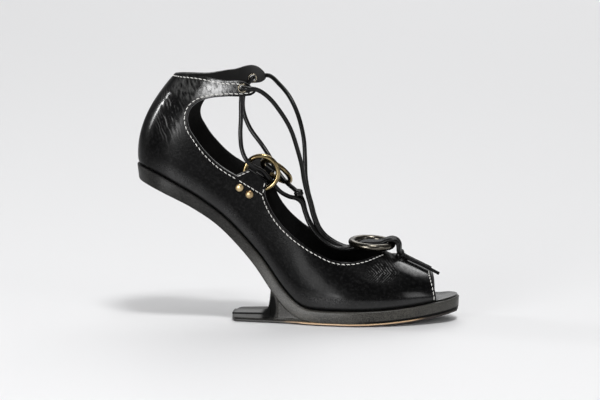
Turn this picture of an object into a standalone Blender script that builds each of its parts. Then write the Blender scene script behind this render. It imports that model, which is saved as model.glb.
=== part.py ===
"""A heelless lace-up peep-toe shoe for the right foot, modelled piece by piece.

X runs from heel to toe, Y towards the inner side of the foot, Z up. The flat tread of the outsole lies on
Z = 0, and the origin is on that tread. Sizes are in millimetres until a mesh is made.
"""

import math
from collections import namedtuple

import bmesh
import bpy
from mathutils import Matrix, Vector

MM = 0.001

# Clearances and thicknesses
GAP = 0.3
WALL = 2.0
OUTSOLE = 1.6
INSOLE = 1.7
TOE_INSOLE = 0.9
EDGE = 1.1
SOLE_SECTIONS = 46
LEAST_HALF = 0.8

# Toe spring of the tread
SPRING = 6.2
SPRING_FROM_X = 38.0
SPRING_POWER = 1.9

# Rear spur under the cantilevered arch: a low tail with a wide base, and a web that meets the arch
SPUR_END_X = -41.5
SPUR_BOW = 4.5
SPUR_HALF = 21.5
SPUR_FLARE = 0.155
SPUR_TOP_HALF = 8.5
SPUR_TOP_SHIFT = -2.0
SPUR_PLATE_Z = 3.9
SPUR_LIP = 0.9
SPUR_FILLET_X = -22.0
SPUR_TIP_X = -15.8
SPUR_FULL_X = -9.5
SPUR_FRONT_X = 3.6
SPUR_CENTRE = -1.2
SPUR_ROUND = 2.6
SPUR_INSET = 0.4
# The web's back: a long ramp with a share of its height, and a tight hook at its tip with the rest.
SPUR_RAMP_SHARE = 0.3
SPUR_RAMP_POWER = 2.2
SPUR_HOOK_POWER = 14.0
# Where the tread takes over the outline of the sole.
BALL_X = 14.0
TREAD_INSET = 0.9
TREAD_EDGE = 0.3

# The insole: its distance from the sole's edge inside the upper and at the bare toe, and where it thins
INSOLE_INSET = 3.5
TOE_INSET = 1.1
TOE_OPEN_X = 94.5
TOE_OPEN_RUN = 4.0
THIN_FROM_X = 70.0
THIN_RUN = 20.0
INSOLE_EDGE = 0.6

# Hardware and cord
FRONT_RING_R = 13.5
FRONT_RING_WIRE = 1.8
SIDE_RING_R = 10.45
SIDE_RING_WIRE = 1.4
RIVET_R = 2.7
EYELET_HOLE = 1.95
EYELET_BARREL = 2.4
EYELET_FLANGE = 3.1
LACE_R = 1.3
TIE_R = 1.2

LATERAL = -1
MEDIAL = 1
SIDES = {"lateral": LATERAL, "medial": MEDIAL}

# The sole by section, from the heel's back to the toe. deck_rise is the height of the deck, which carries
# the upper, above the tread's own line. under_x and under_z lead from the deck's edge to the edge below.
Sole = namedtuple("Sole", "x half centre deck_rise under_x under_z")
SOLE = [
    Sole(-104.4, 0.0, 0.0, 100.8, 1.2, 9.4),
    Sole(-101.6, 11.6, 0.0, 100.1, 0.6, 9.7),
    Sole(-93.5, 20.9, 0.0, 97.7, -1.2, 9.4),
    Sole(-80.0, 26.0, 0.0, 91.4, -3.6, 7.9),
    Sole(-60.0, 25.2, -0.4, 79.6, -4.1, 6.1),
    Sole(-42.0, 22.6, -0.8, 65.3, -4.5, 4.8),
    Sole(-22.0, 21.4, -1.2, 43.3, -5.1, 4.2),
    Sole(-6.0, 25.2, -1.5, 22.0, -5.3, 4.6),
    Sole(6.0, 29.8, -1.5, 11.6, -3.6, 6.6),
    Sole(20.0, 33.8, -1.3, 9.6, -0.4, 7.7),
    Sole(40.0, 36.6, -0.4, 9.6, 0.0, 7.7),
    Sole(60.0, 35.2, 1.2, 9.6, 0.0, 7.7),
    Sole(76.0, 30.4, 2.4, 9.6, 0.3, 7.7),
    Sole(90.4, 22.4, 3.2, 9.6, 0.3, 7.7),
    Sole(98.5, 15.9, 3.4, 9.6, 0.2, 7.7),
    Sole(104.0, 7.6, 3.5, 9.6, 0.0, 7.7),
    Sole(105.6, 0.0, 3.5, 9.6, -0.4, 7.7),
]

# The last's side wall by rib, one for each of the sole's first sections. A rib leaves the deck's edge, rises
# by rise while it flares out, and arrives at its top from drop below and spread outside. The tops run along
# the ankle strap, over the open instep and down the ridge of the vamp to the peep toe. top_skew is the
# height that the inner side has over the outer one.
Rib = namedtuple("Rib", "top_x top_half top_z top_skew rise flare spread drop")
RIBS = [
    Rib(-79.5, 0.0, 159.2, 0.0, 21.0, 2.3, 16.5, 18.2),
    Rib(-77.2, 9.2, 159.2, -0.5, 21.0, 2.4, 14.5, 18.0),
    Rib(-71.0, 17.5, 159.0, -1.2, 21.5, 2.7, 9.0, 18.0),
    Rib(-60.0, 24.5, 158.6, -1.5, 22.5, 3.0, 3.5, 18.5),
    Rib(-45.0, 28.4, 158.4, 0.6, 25.0, 3.2, 0.8, 20.0),
    Rib(-27.0, 29.2, 157.2, 2.4, 30.0, 4.5, 0.0, 30.0),
    Rib(-6.0, 21.0, 129.0, 1.0, 26.0, 6.0, 6.0, 26.0),
    Rib(12.0, 11.0, 98.0, 0.5, 25.0, 6.0, 17.0, 16.0),
    Rib(26.0, 4.0, 76.0, 0.2, 24.0, 5.5, 23.0, 7.0),
    Rib(41.0, 0.0, 59.0, 0.0, 21.0, 4.5, 25.0, 2.0),
    Rib(56.0, 0.0, 45.6, 0.0, 17.0, 3.5, 24.5, 0.5),
    Rib(67.0, 0.0, 40.6, 0.0, 15.5, 3.0, 22.5, 0.5),
    Rib(77.0, 0.0, 36.2, 0.0, 13.5, 2.5, 19.5, 0.5),
    Rib(87.4, 0.0, 31.0, 0.0, 9.5, 2.0, 13.5, 0.3),
]
RIB_END = len(RIBS) - 1
RIDGE_FROM = 9
# The last section of the heel cup, where the ribs stand square to the outline.
HEEL_TO = 4
# How far, in sections, the peep edge runs ahead on the outer side and behind on the inner side.
TOE_SWING = 0.19
SWING_FROM = 8.0
# The sections over which the tops move from the middle plane to the sole's own centre line.
LEAN_FROM = 6.0
LEAN_RUN = 3.0
# Height that the throat and the cut-out gain across the shoe, towards the inner side.
TOP_TILT = 0.035
UPPER_INSET = 0.8

# The cut of the upper seen from the side: throat, ring tab, side cut-out and ankle strap, then the instep.
Cut = namedtuple("Cut", "x z corner")
TOPLINE = [
    Cut(60.5, 75.0, True),
    Cut(58.6, 44.8, True),
    Cut(54.5, 43.4, False),
    Cut(45.0, 40.3, False),
    Cut(36.0, 39.5, False),
    Cut(27.0, 41.0, False),
    Cut(16.7, 45.9, False),
    Cut(7.0, 51.9, False),
    Cut(-3.0, 60.3, False),
    Cut(-10.5, 69.2, False),
    Cut(-16.0, 78.5, False),
    Cut(-18.2, 85.0, True),
    Cut(-16.9, 93.5, True),
    Cut(-28.2, 101.1, True),
    Cut(-37.0, 97.0, True),
    Cut(-45.5, 102.2, False),
    Cut(-54.0, 109.7, False),
    Cut(-62.7, 120.7, False),
    Cut(-67.6, 129.5, False),
    Cut(-67.6, 137.6, False),
    Cut(-63.0, 143.5, False),
    Cut(-55.0, 146.8, False),
    Cut(-43.0, 148.5, False),
    Cut(-30.5, 149.0, False),
    Cut(-25.3, 150.2, False),
    Cut(-23.2, 153.2, False),
    Cut(-24.6, 156.4, True),
    Cut(-24.6, 185.0, True),
    Cut(60.5, 185.0, True),
]

# Places on the wall, seen from the side
TAB_TOP = (-22.5, 97.3)
TAB_ALONG = (0.83, -0.56)
EYELET_AT = (-32.0, 153.2)
LOOP_W = 5.4
LOOP_T = 1.3
LOOP_DEPTH = {"lateral": 3.6, "medial": 6.8}
LOOP_ALONG = {"lateral": 1.5, "medial": 3.6}
LOOP_GAP = 0.6
LOOP_BEND = -10.4
LOOP_FOOT = -17.0
LOOP_TURN = 2.8
RIVET_ALONG = (-4.8, 3.2)
RIVET_DOWN = 13.5

# Front ring, tied to the vamp
FRONT_RING_AT = (49.0, 0.0, 49.5)
FRONT_RING_PITCH = 4.2
FRONT_RING_ROLL = -4.4

# Side rings in their loops: how far the ring's middle is above the tab's fold, and how it leans
LATERAL_RING_UP = 1.1
MEDIAL_RING_DOWN = 3.7
MEDIAL_RING_TURN = 30.0
MEDIAL_RING_LIFT = 20.0
RING_CLEAR = 1.2

# Colours, roughness and metal of each finish
FINISHES = {
    "black_leather": ((0.012, 0.012, 0.013), 0.35, 0.0),
    "lining_leather": ((0.014, 0.013, 0.013), 0.5, 0.0),
    "sole_wrap": ((0.055, 0.053, 0.048), 0.42, 0.0),
    "tread_leather": ((0.46, 0.27, 0.14), 0.55, 0.0),
    "brass": ((0.62, 0.44, 0.18), 0.28, 1.0),
    "pewter": ((0.2, 0.18, 0.15), 0.32, 1.0),
    "lace_leather": ((0.012, 0.012, 0.012), 0.45, 0.0),
}


def clear_scene():
    """Remove every object, so that the script always starts from nothing."""
    for thing in list(bpy.data.objects):
        bpy.data.objects.remove(thing, do_unlink=True)


def collection(name):
    made = bpy.data.collections.new(name)
    bpy.context.scene.collection.children.link(made)
    return made


def finish(name):
    """The Principled material of a finish, made once."""
    found = bpy.data.materials.get(name)
    if found:
        return found
    colour, roughness, metallic = FINISHES[name]
    made = bpy.data.materials.new(name)
    made.use_nodes = True
    shader = made.node_tree.nodes["Principled BSDF"]
    shader.inputs["Base Color"].default_value = (*colour, 1.0)
    shader.inputs["Roughness"].default_value = roughness
    shader.inputs["Metallic"].default_value = metallic
    return made


def add_object(name, data, finish_name):
    """Link an object into the shoe's collection, under the shoe's empty."""
    made = bpy.data.objects.new(name, data)
    SHOE.objects.link(made)
    made.parent = ROOT
    data.materials.append(finish(finish_name))
    return made


def mesh_from(bm, name):
    """Turn a bmesh in millimetres into a mesh in metres with its faces pointing out."""
    bmesh.ops.recalc_face_normals(bm, faces=bm.faces)
    bmesh.ops.scale(bm, vec=(MM, MM, MM), verts=bm.verts)
    mesh = bpy.data.meshes.new(name)
    bm.to_mesh(mesh)
    bm.free()
    mesh.shade_smooth()
    mesh.set_sharp_from_angle(angle=math.radians(40.0))
    return mesh


def row_at(rows, index):
    """A table's row, mirrored past the heel and, on the sole, past the toe."""
    last = len(rows) - 1
    if index < 0:
        row = rows[-index]
        if isinstance(row, Sole):
            return row._replace(half=-row.half)
        return row._replace(top_half=-row.top_half, top_skew=-row.top_skew)
    if index <= last:
        return rows[index]
    row = rows[2 * last - index]
    if isinstance(row, Sole):
        return row._replace(half=-row.half)
    return Rib(*(2.0 * b - a for a, b in zip(row, rows[last])))


def between(rows, t):
    """A smooth row at place t of a table, through its rows (Catmull-Rom)."""
    i = min(int(math.floor(t)), len(rows) - 2)
    f = t - i
    four = [row_at(rows, i + k) for k in (-1, 0, 1, 2)]
    weights = (
        0.5 * (-f + 2.0 * f * f - f**3),
        0.5 * (2.0 - 5.0 * f * f + 3.0 * f**3),
        0.5 * (f + 4.0 * f * f - 3.0 * f**3),
        0.5 * (-f * f + f**3),
    )
    return type(rows[0])(*(sum(w * row[c] for w, row in zip(weights, four)) for c in range(len(rows[0]))))


def spring(x):
    """Height of the tread above the floor."""
    run = max(0.0, x - SPRING_FROM_X) / (SOLE[-1].x - SPRING_FROM_X)
    return SPRING * run**SPRING_POWER


def deck_z(row):
    return row.deck_rise + spring(row.x)


def under_point(row):
    """The edge of the platform below a section's deck, clear of the outsole."""
    x = row.x + row.under_x
    floor = OUTSOLE + GAP + spring(x)
    return x, max(floor, deck_z(row) - row.under_z)


def spaced(count, end):
    """Places along a table, closer together at both of its round ends."""
    return [end * 0.5 * (1.0 - math.cos(math.pi * k / count)) for k in range(count + 1)]


def section_at_x(x):
    """The sole's section at a length along the shoe, found by halving."""
    low, high = 0.0, float(len(SOLE) - 1)
    for _ in range(40):
        middle = 0.5 * (low + high)
        if between(SOLE, middle).x < x:
            low = middle
        else:
            high = middle
    return between(SOLE, 0.5 * (low + high))


def loft(sections, name):
    """A closed skin over sections of equal point counts, with a cap at each end."""
    bm = bmesh.new()
    loops = [[bm.verts.new(point) for point in section] for section in sections]
    count = len(loops[0])
    for one, two in zip(loops, loops[1:]):
        for k in range(count):
            n = (k + 1) % count
            bm.faces.new((one[k], one[n], two[n], two[k]))
    bm.faces.new(loops[0])
    bm.faces.new(reversed(loops[-1]))
    return mesh_from(bm, name)


def slab_section(left, right, top, under, edge):
    """Eight points round a slab: top and under are (x, z) of its two faces, and edge rounds its corners."""
    (tx, tz), (ux, uz) = top, under
    edge = min(edge, 0.4 * (right - left), 0.3 * math.hypot(tx - ux, tz - uz))
    share = edge / max(math.hypot(tx - ux, tz - uz), 1e-6)
    high = (tx + (ux - tx) * share, tz + (uz - tz) * share)
    low = (ux + (tx - ux) * share, uz + (tz - uz) * share)
    return [
        (tx, left + edge, tz),
        (tx, right - edge, tz),
        (high[0], right, high[1]),
        (low[0], right, low[1]),
        (ux, right - edge, uz),
        (ux, left + edge, uz),
        (low[0], left, low[1]),
        (high[0], left, high[1]),
    ]


def build_platform():
    """The wrapped platform: one bent slab from the heel seat, down the arch, to the toe."""
    sections = []
    for t in spaced(SOLE_SECTIONS, len(SOLE) - 1):
        row = between(SOLE, t)
        half = max(row.half, LEAST_HALF)
        top = (row.x, deck_z(row))
        sections.append(slab_section(row.centre - half, row.centre + half, top, under_point(row), EDGE))
    add_object("platform", loft(sections, "platform"), "sole_wrap")


def tread_half(x):
    """Half width of what stands on the floor: the spur's base behind, the sole's outline in front."""
    flare = SPUR_HALF + SPUR_FLARE * (x - SPUR_END_X - SPUR_BOW)
    share = min(1.0, max(0.0, (x - SPUR_FULL_X) / (BALL_X - SPUR_FULL_X)))
    share = share * share * (3.0 - 2.0 * share)
    half = flare + (section_at_x(x).half - flare) * share
    bow = max(0.0, 1.0 - (x - SPUR_END_X) / SPUR_BOW)
    return half * math.sqrt(max(0.0, 1.0 - bow**SPUR_ROUND))


def tread_centre(x):
    return SPUR_CENTRE if x < SPUR_TIP_X else section_at_x(x).centre


def arch_under_z(x):
    """Height of the platform's underside over a point of the floor, behind the ball."""
    low, high = 4.0, 10.0  # sections of the arch
    for _ in range(40):
        middle = 0.5 * (low + high)
        if under_point(between(SOLE, middle))[0] < x:
            low = middle
        else:
            high = middle
    return under_point(between(SOLE, low))[1]


def spur_top(x):
    """Height of the spur: a flat tail, a tight fillet up the web's back, then the underside of the arch."""
    if x < SPUR_FILLET_X:
        return SPUR_PLATE_Z
    seat = arch_under_z(max(x, SPUR_TIP_X)) - 1.8 * GAP  # square to the slope, about one gap
    if x > SPUR_TIP_X:
        return seat
    run = (x - SPUR_FILLET_X) / (SPUR_TIP_X - SPUR_FILLET_X)
    ramp = SPUR_RAMP_SHARE * run**SPUR_RAMP_POWER
    hook = (1.0 - SPUR_RAMP_SHARE) * run**SPUR_HOOK_POWER
    return SPUR_PLATE_Z + (seat - SPUR_PLATE_Z) * (ramp + hook)


def spur_section(x):
    """Twelve points round the spur: a wide foot with a lip, hollow flanks and a narrow top."""
    base = OUTSOLE + GAP
    foot = tread_half(x) - SPUR_INSET
    middle = tread_centre(x)
    grow = min(1.0, max(0.0, (x - SPUR_TIP_X) / (SPUR_FULL_X - SPUR_TIP_X)))
    grow = grow * grow * (3.0 - 2.0 * grow)
    widest = foot - SPUR_INSET
    top = min(widest, SPUR_TOP_HALF + (widest - SPUR_TOP_HALF) * grow)
    top_middle = middle + SPUR_TOP_SHIFT * (1.0 - grow) * min(1.0, top / SPUR_TOP_HALF)
    high = spur_top(x)
    lip = min(base + SPUR_LIP, 0.5 * (base + high))
    flank = [(0.0, 1.0), (0.22, 0.45), (0.55, 0.14), (1.0, 0.0)]
    sides = {}
    for side in (-1.0, 1.0):
        near, far = top_middle + side * top, middle + side * foot
        sides[side] = [(x, near + (far - near) * out, lip + (high - lip) * up) for out, up in flank]
        sides[side].append((x, far, base))
    return sides[-1.0] + sides[1.0][::-1]


def eased(start, end, count):
    """Places from one length to another, without the first, closer together towards the end."""
    return [start + (end - start) * math.sin(0.5 * math.pi * k / count) for k in range(1, count + 1)]


def bow_places():
    """Lengths of the sections over the spur's round back end."""
    end = SPUR_END_X + SPUR_BOW
    return eased(end, SPUR_END_X, 6)[-2::-1] + [end]


def build_spur():
    """The rear spur: a flat foot with a web that rises into the arch."""
    tail_end = SPUR_END_X + SPUR_BOW
    tail = [tail_end + (SPUR_FILLET_X - tail_end) * share for share in (0.33, 0.67, 1.0)]
    fillet = eased(SPUR_FILLET_X, SPUR_TIP_X, 8)
    seat = [SPUR_TIP_X + (SPUR_FRONT_X - SPUR_TIP_X) * k / 12.0 for k in range(1, 13)]
    sections = [spur_section(x) for x in bow_places() + tail + fillet + seat]
    add_object("spur", loft(sections, "spur"), "sole_wrap")


def build_outsole():
    """The leather outsole: one sheet under the spur and the forefoot, with the toe spring."""
    bow = bow_places()
    sections = []
    for x in bow + eased(bow[-1], SOLE[-1].x - TREAD_INSET, 26):
        half = max(tread_half(x) - TREAD_INSET, LEAST_HALF)
        middle = tread_centre(x)
        top, under = (x, spring(x) + OUTSOLE), (x, spring(x))
        sections.append(slab_section(middle - half, middle + half, top, under, TREAD_EDGE))
    add_object("outsole", loft(sections, "outsole"), "tread_leather")


def build_insole():
    """The insole: inside the upper from heel to ball, and out to the edge of the bare toe."""
    sections = []
    for t in spaced(SOLE_SECTIONS, len(SOLE) - 1)[1:-1]:
        row = between(SOLE, t)
        out = outline_normal(MEDIAL, t)
        share = min(1.0, max(0.0, (row.x - TOE_OPEN_X) / TOE_OPEN_RUN))
        inset = INSOLE_INSET + (TOE_INSET - INSOLE_INSET) * share
        half = max(row.half - inset * abs(out.y), LEAST_HALF)
        x = row.x - inset * out.x
        low = deck_z(section_at_x(x)) + 1.3 * GAP
        slope = 0.5 * (deck_z(section_at_x(x - 1.0)) - deck_z(section_at_x(x + 1.0)))
        lean = 1.0 / math.hypot(1.0, slope)
        thin = min(1.0, max(0.0, (x - THIN_FROM_X) / THIN_RUN))
        thick = (INSOLE + (TOE_INSOLE - INSOLE) * thin) * lean
        top = (x + thick * slope, low + thick)
        sections.append(slab_section(row.centre - half, row.centre + half, top, (x, low), INSOLE_EDGE))
    add_object("insole", loft(sections, "insole"), "lining_leather")


def outline_normal(side, t):
    """Outward direction of the sole's outline, seen from above."""
    step = 0.02
    one, two = between(SOLE, max(t - step, 0.0)), between(SOLE, t + step)
    along = Vector((two.x - one.x, side * (two.half - one.half), 0.0))
    return Vector((along.y, -along.x, 0.0)).normalized() * (-side)


def wall(side, t, v):
    """A point on the upper's outer face: rib t on one side, from the deck (v = 0) to its top (v = 1)."""
    rib = between(RIBS, t)
    swing = TOE_SWING * max(0.0, (t - SWING_FROM) / (RIB_END - SWING_FROM))
    row = between(SOLE, t - side * swing)
    out = outline_normal(side, t) if t < HEEL_TO else Vector((0.0, side, 0.0))
    foot = Vector((row.x, row.centre + side * (row.half - UPPER_INSET), deck_z(row) + GAP))
    if t < 1e-6:
        foot = Vector((row.x + UPPER_INSET, row.centre, deck_z(row) + GAP))
    ridge = between(SOLE, t).centre * min(1.0, max(0.0, (t - LEAN_FROM) / LEAN_RUN))
    top_y = ridge + side * (rib.top_half if t < RIDGE_FROM else 0.0)
    skew = side * rib.top_skew if t < RIDGE_FROM else 0.0
    top = Vector((rib.top_x, top_y, rib.top_z + skew))
    low = foot + out * rib.flare + Vector((0.0, 0.0, rib.rise))
    high = top + out * rib.spread - Vector((0.0, 0.0, rib.drop))
    a, b, c, d = (1.0 - v) ** 3, 3.0 * v * (1.0 - v) ** 2, 3.0 * v * v * (1.0 - v), v**3
    return foot * a + low * b + high * c + top * d


def wall_at(side, x, z):
    """The wall's outer point and outward normal where a side view shows (x, z)."""
    t, v, step = 6.0, 0.5, 2.0

    def miss(tt, vv):
        point = wall(side, tt, vv)
        return math.hypot(point.x - x, point.z - z)

    best = miss(t, v)
    while step > 1e-4:
        tries = [(t + step, v), (t - step, v), (t, v + 0.1 * step), (t, v - 0.1 * step)]
        tries = [(min(max(a, 0.01), RIB_END), min(max(b, 0.0), 1.0)) for a, b in tries]
        found = min(tries, key=lambda place: miss(*place))
        if miss(*found) < best:
            t, v = found
            best = miss(t, v)
        else:
            step *= 0.5
    tiny = 0.01
    across = wall(side, t + tiny, v) - wall(side, t - tiny, v)
    upward = wall(side, t, min(v + tiny, 1.0)) - wall(side, t, v - tiny)
    normal = across.cross(upward).normalized()
    if normal.y * side < 0.0:
        normal.negate()
    return wall(side, t, v), normal


def wall_frame(side, place, along):
    """A frame on the wall: its point, the direction along the top edge, up across it, and outward."""
    point, normal = wall_at(side, *place)
    run = Vector((along[0], 0.0, along[1]))
    run = (run - normal * run.dot(normal)).normalized()
    up = normal.cross(run).normalized()
    if up.z < 0.0:
        up.negate()
    return point, run, up, normal


def hide_cutter(thing):
    CUTTERS.objects.link(thing)
    thing.hide_render = True
    thing.display_type = "WIRE"
    return thing


def topline_cutter():
    """A slanted prism with the outline of the open instep, throat and side cut-outs."""
    reach = 60.0
    curve = bpy.data.curves.new("topline", "CURVE")
    curve.dimensions = "2D"
    curve.fill_mode = "BOTH"
    curve.extrude = reach * MM
    curve.resolution_u = 4
    spline = curve.splines.new("BEZIER")
    spline.bezier_points.add(len(TOPLINE) - 1)
    spline.use_cyclic_u = True
    for point, cut in zip(spline.bezier_points, TOPLINE):
        point.co = (cut.x * MM, cut.z * MM, 0.0)
        point.handle_left_type = point.handle_right_type = "VECTOR" if cut.corner else "AUTO"
    source = bpy.data.objects.new("topline", curve)
    bpy.context.scene.collection.objects.link(source)
    bpy.context.view_layer.update()
    mesh = bpy.data.meshes.new_from_object(source.evaluated_get(bpy.context.evaluated_depsgraph_get()))
    bpy.data.objects.remove(source)
    bm = bmesh.new()
    bm.from_mesh(mesh)
    bmesh.ops.remove_doubles(bm, verts=bm.verts, dist=0.02 * MM)
    upright = Matrix(((1, 0, 0, 0), (0, 0, 1, 0), (0, 1, TOP_TILT, 0), (0, 0, 0, 1)))
    bmesh.ops.transform(bm, matrix=upright, verts=bm.verts)
    bmesh.ops.recalc_face_normals(bm, faces=bm.faces)
    bm.to_mesh(mesh)
    bm.free()
    return hide_cutter(bpy.data.objects.new("topline_cutter", mesh))


def eyelet_cutter(name, side):
    """A round punch through the strap where its eyelet sits."""
    point, normal = wall_at(side, *EYELET_AT)
    bm = bmesh.new()
    radius = EYELET_BARREL + GAP
    bmesh.ops.create_cone(
        bm, cap_ends=True, segments=16, radius1=radius, radius2=radius, depth=12.0
    )
    bmesh.ops.transform(bm, matrix=placed(point, normal), verts=bm.verts)
    return hide_cutter(bpy.data.objects.new(f"punch_{name}", mesh_from(bm, f"punch_{name}")))


def placed(point, axis):
    """A matrix that stands a Z-axis shape at a point along an axis."""
    turn = Vector((0.0, 0.0, 1.0)).rotation_difference(axis)
    return Matrix.Translation(point) @ turn.to_matrix().to_4x4()


def build_upper():
    """The upper: one hollow leather wall with counter, quarters, ankle strap and vamp."""
    ribs_a_row, steps = 3, 12
    count = RIB_END * ribs_a_row
    bm = bmesh.new()
    columns = {}
    for side in (LATERAL, MEDIAL):
        for k in range(0 if side == LATERAL else 1, count + 1):
            column = [bm.verts.new(wall(side, k / ribs_a_row, j / steps)) for j in range(steps + 1)]
            columns[side * k] = column
    for k in range(-count, count):
        for j in range(steps):
            one, two = columns[k], columns[k + 1]
            bm.faces.new((one[j], one[j + 1], two[j + 1], two[j]))
    ridged = range(RIDGE_FROM * ribs_a_row, count + 1)
    ridge = [columns[side * k][steps] for side in SIDES.values() for k in ridged]
    bmesh.ops.remove_doubles(bm, verts=ridge, dist=0.05)
    made = add_object("upper", mesh_from(bm, "upper"), "black_leather")
    outermost = max(made.data.polygons, key=lambda face: face.center.y)
    if outermost.normal.y < 0.0:
        made.data.flip_normals()
    shell = made.modifiers.new("leather", "SOLIDIFY")
    shell.thickness = WALL * MM
    shell.offset = -1.0
    shell.use_even_offset = True
    cutters = [topline_cutter()] + [eyelet_cutter(name, side) for name, side in SIDES.items()]
    for cutter in cutters:
        cut = made.modifiers.new(cutter.name, "BOOLEAN")
        cut.operation = "DIFFERENCE"
        cut.solver = "EXACT"
        cut.object = cutter


def build_ring(name, centre, matrix, radius, wire, finish_name):
    """A round-wire ring."""
    bpy.ops.mesh.primitive_torus_add(
        major_radius=radius, minor_radius=wire, major_segments=24, minor_segments=8
    )
    source = bpy.context.active_object
    mesh = source.data
    bpy.data.objects.remove(source)
    mesh.name = name
    mesh.transform(Matrix.Scale(MM, 4) @ Matrix.Translation(centre) @ matrix.to_4x4())
    mesh.shade_smooth()
    add_object(name, mesh, finish_name)


def build_front_ring():
    """The large ring over the throat."""
    turn = Matrix.Rotation(math.radians(FRONT_RING_PITCH), 3, "Y")
    roll = Matrix.Rotation(math.radians(-FRONT_RING_ROLL), 3, "X")
    build_ring("front_ring", Vector(FRONT_RING_AT), turn @ roll, FRONT_RING_R, FRONT_RING_WIRE, "pewter")


def side_ring_pose(side):
    """Middle and axis of a side ring: flat in its loop outside, lying inwards on the inner side."""
    point, run, up, out = wall_frame(side, TAB_TOP, TAB_ALONG)
    inside = WALL + SIDE_RING_WIRE + RING_CLEAR
    if side == LATERAL:
        return point + run * LOOP_ALONG["lateral"] + up * LATERAL_RING_UP - out * inside, out
    held = point + run * LOOP_ALONG["medial"] - up * MEDIAL_RING_DOWN - out * (inside + LOOP_GAP)
    lift, turn = math.radians(MEDIAL_RING_LIFT), math.radians(MEDIAL_RING_TURN)
    reach = (up * math.sin(lift) - out * math.cos(lift)) * math.cos(turn) + run * math.sin(turn)
    tangent = (run - reach * run.dot(reach)).normalized()
    return held + reach * SIDE_RING_R, reach.cross(tangent).normalized()


def build_side_rings():
    """The two brass rings at the instep."""
    for name, side in SIDES.items():
        centre, axis = side_ring_pose(side)
        matrix = Vector((0.0, 0.0, 1.0)).rotation_difference(axis).to_matrix()
        build_ring(f"side_ring_{name}", centre, matrix, SIDE_RING_R, SIDE_RING_WIRE, "brass")


def behind_wall(side, along, up_by, depth):
    """A point behind the wall's outer face, by its place along the tab's fold and above it."""
    point, run, up, _ = wall_frame(side, TAB_TOP, TAB_ALONG)
    guess = point + run * along + up * up_by
    seat, normal = wall_at(side, guess.x, guess.z)
    return seat - normal * depth


def build_ring_loops():
    """The leather loop behind each tab, folded round the ring and riveted to the wall."""
    near = WALL + LOOP_GAP
    for name, side in SIDES.items():
        far = near + LOOP_DEPTH[name] + LOOP_T
        profile = [
            (-GAP, near),
            (-GAP, far),
            (LOOP_BEND - 0.5 * LOOP_T, far),
            (LOOP_BEND - LOOP_TURN, near + LOOP_T),
            (LOOP_FOOT, near + LOOP_T),
            (LOOP_FOOT, near),
            (LOOP_BEND - LOOP_TURN + 0.5 * LOOP_T, near),
            (LOOP_BEND, far - LOOP_T),
            (-GAP - LOOP_T, far - LOOP_T),
            (-GAP - LOOP_T, near),
        ]
        ends = [LOOP_ALONG[name] - 0.5 * LOOP_W, LOOP_ALONG[name] + 0.5 * LOOP_W]
        sections = [[behind_wall(side, at, u, n) for u, n in profile] for at in ends]
        add_object(f"ring_loop_{name}", loft(sections, f"ring_loop_{name}"), "black_leather")


def build_rivets():
    """Two domed brass rivets below each tab."""
    dome = 1.5
    for name, side in SIDES.items():
        point, run, up, out = wall_frame(side, TAB_TOP, TAB_ALONG)
        for number, along in enumerate(RIVET_ALONG, 1):
            guess = point + run * along - up * RIVET_DOWN
            seat, normal = wall_at(side, guess.x, guess.z)
            bm = bmesh.new()
            bmesh.ops.create_uvsphere(bm, u_segments=14, v_segments=8, radius=RIVET_R)
            below = [v for v in bm.verts if v.co.z < -1e-4]
            bmesh.ops.delete(bm, geom=below, context="VERTS")
            rim = [edge for edge in bm.edges if edge.is_boundary]
            bmesh.ops.contextual_create(bm, geom=rim)
            bmesh.ops.scale(bm, vec=(1.0, 1.0, dome / RIVET_R), verts=bm.verts)
            bmesh.ops.transform(bm, matrix=placed(seat + normal * GAP, normal), verts=bm.verts)
            label = f"rivet_{name}_{number}"
            add_object(label, mesh_from(bm, label), "brass")


def build_eyelets():
    """A turned eyelet through each end of the ankle strap."""
    half = 0.5 * WALL + GAP
    lip = 0.55
    profile = [
        (EYELET_HOLE, half + lip),
        (EYELET_FLANGE, half + 0.4 * lip),
        (EYELET_FLANGE, half),
        (EYELET_BARREL, half),
        (EYELET_BARREL, -half),
        (EYELET_FLANGE, -half),
        (EYELET_FLANGE, -half - 0.4 * lip),
        (EYELET_HOLE, -half - lip),
    ]
    turns = 16
    for name, side in SIDES.items():
        point, normal = wall_at(side, *EYELET_AT)
        bm = bmesh.new()
        verts = [bm.verts.new((radius, 0.0, height)) for radius, height in profile]
        edges = [bm.edges.new((a, b)) for a, b in zip(verts, verts[1:] + verts[:1])]
        bmesh.ops.spin(
            bm,
            geom=verts + edges,
            axis=(0, 0, 1),
            cent=(0, 0, 0),
            steps=turns,
            angle=2.0 * math.pi,
            use_merge=True,
        )
        bmesh.ops.remove_doubles(bm, verts=bm.verts, dist=0.01)
        bmesh.ops.transform(bm, matrix=placed(point - normal * 0.5 * WALL, normal), verts=bm.verts)
        add_object(f"eyelet_{name}", mesh_from(bm, f"eyelet_{name}"), "brass")


def mixed(places, knots, span, at):
    """Each place mixed with the next one, by where at lies between knots a span apart."""
    ends = zip(places, places[1:], knots, knots[span:])
    return [one.lerp(two, (at - low) / (high - low)) for one, two, low, high in ends]


def smooth_route(points, step):
    """A route's own points, with more about a step apart on a smooth curve between them (centripetal)."""
    points = [Vector(p) for p in points]
    padded = [2.0 * points[0] - points[1]] + points + [2.0 * points[-1] - points[-2]]
    route = [points[0]]
    for four in zip(padded, padded[1:], padded[2:], padded[3:]):
        knots = [0.0]
        for one, two in zip(four, four[1:]):
            knots.append(knots[-1] + math.sqrt((two - one).length))
        count = max(1, round((four[2] - four[1]).length / step))
        for k in range(1, count + 1):
            at = knots[1] + (knots[2] - knots[1]) * k / count
            first = mixed(four, knots, 1, at)
            second = mixed(first, knots, 2, at)
            route.append(second[0].lerp(second[1], k / count))
    return route


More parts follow.
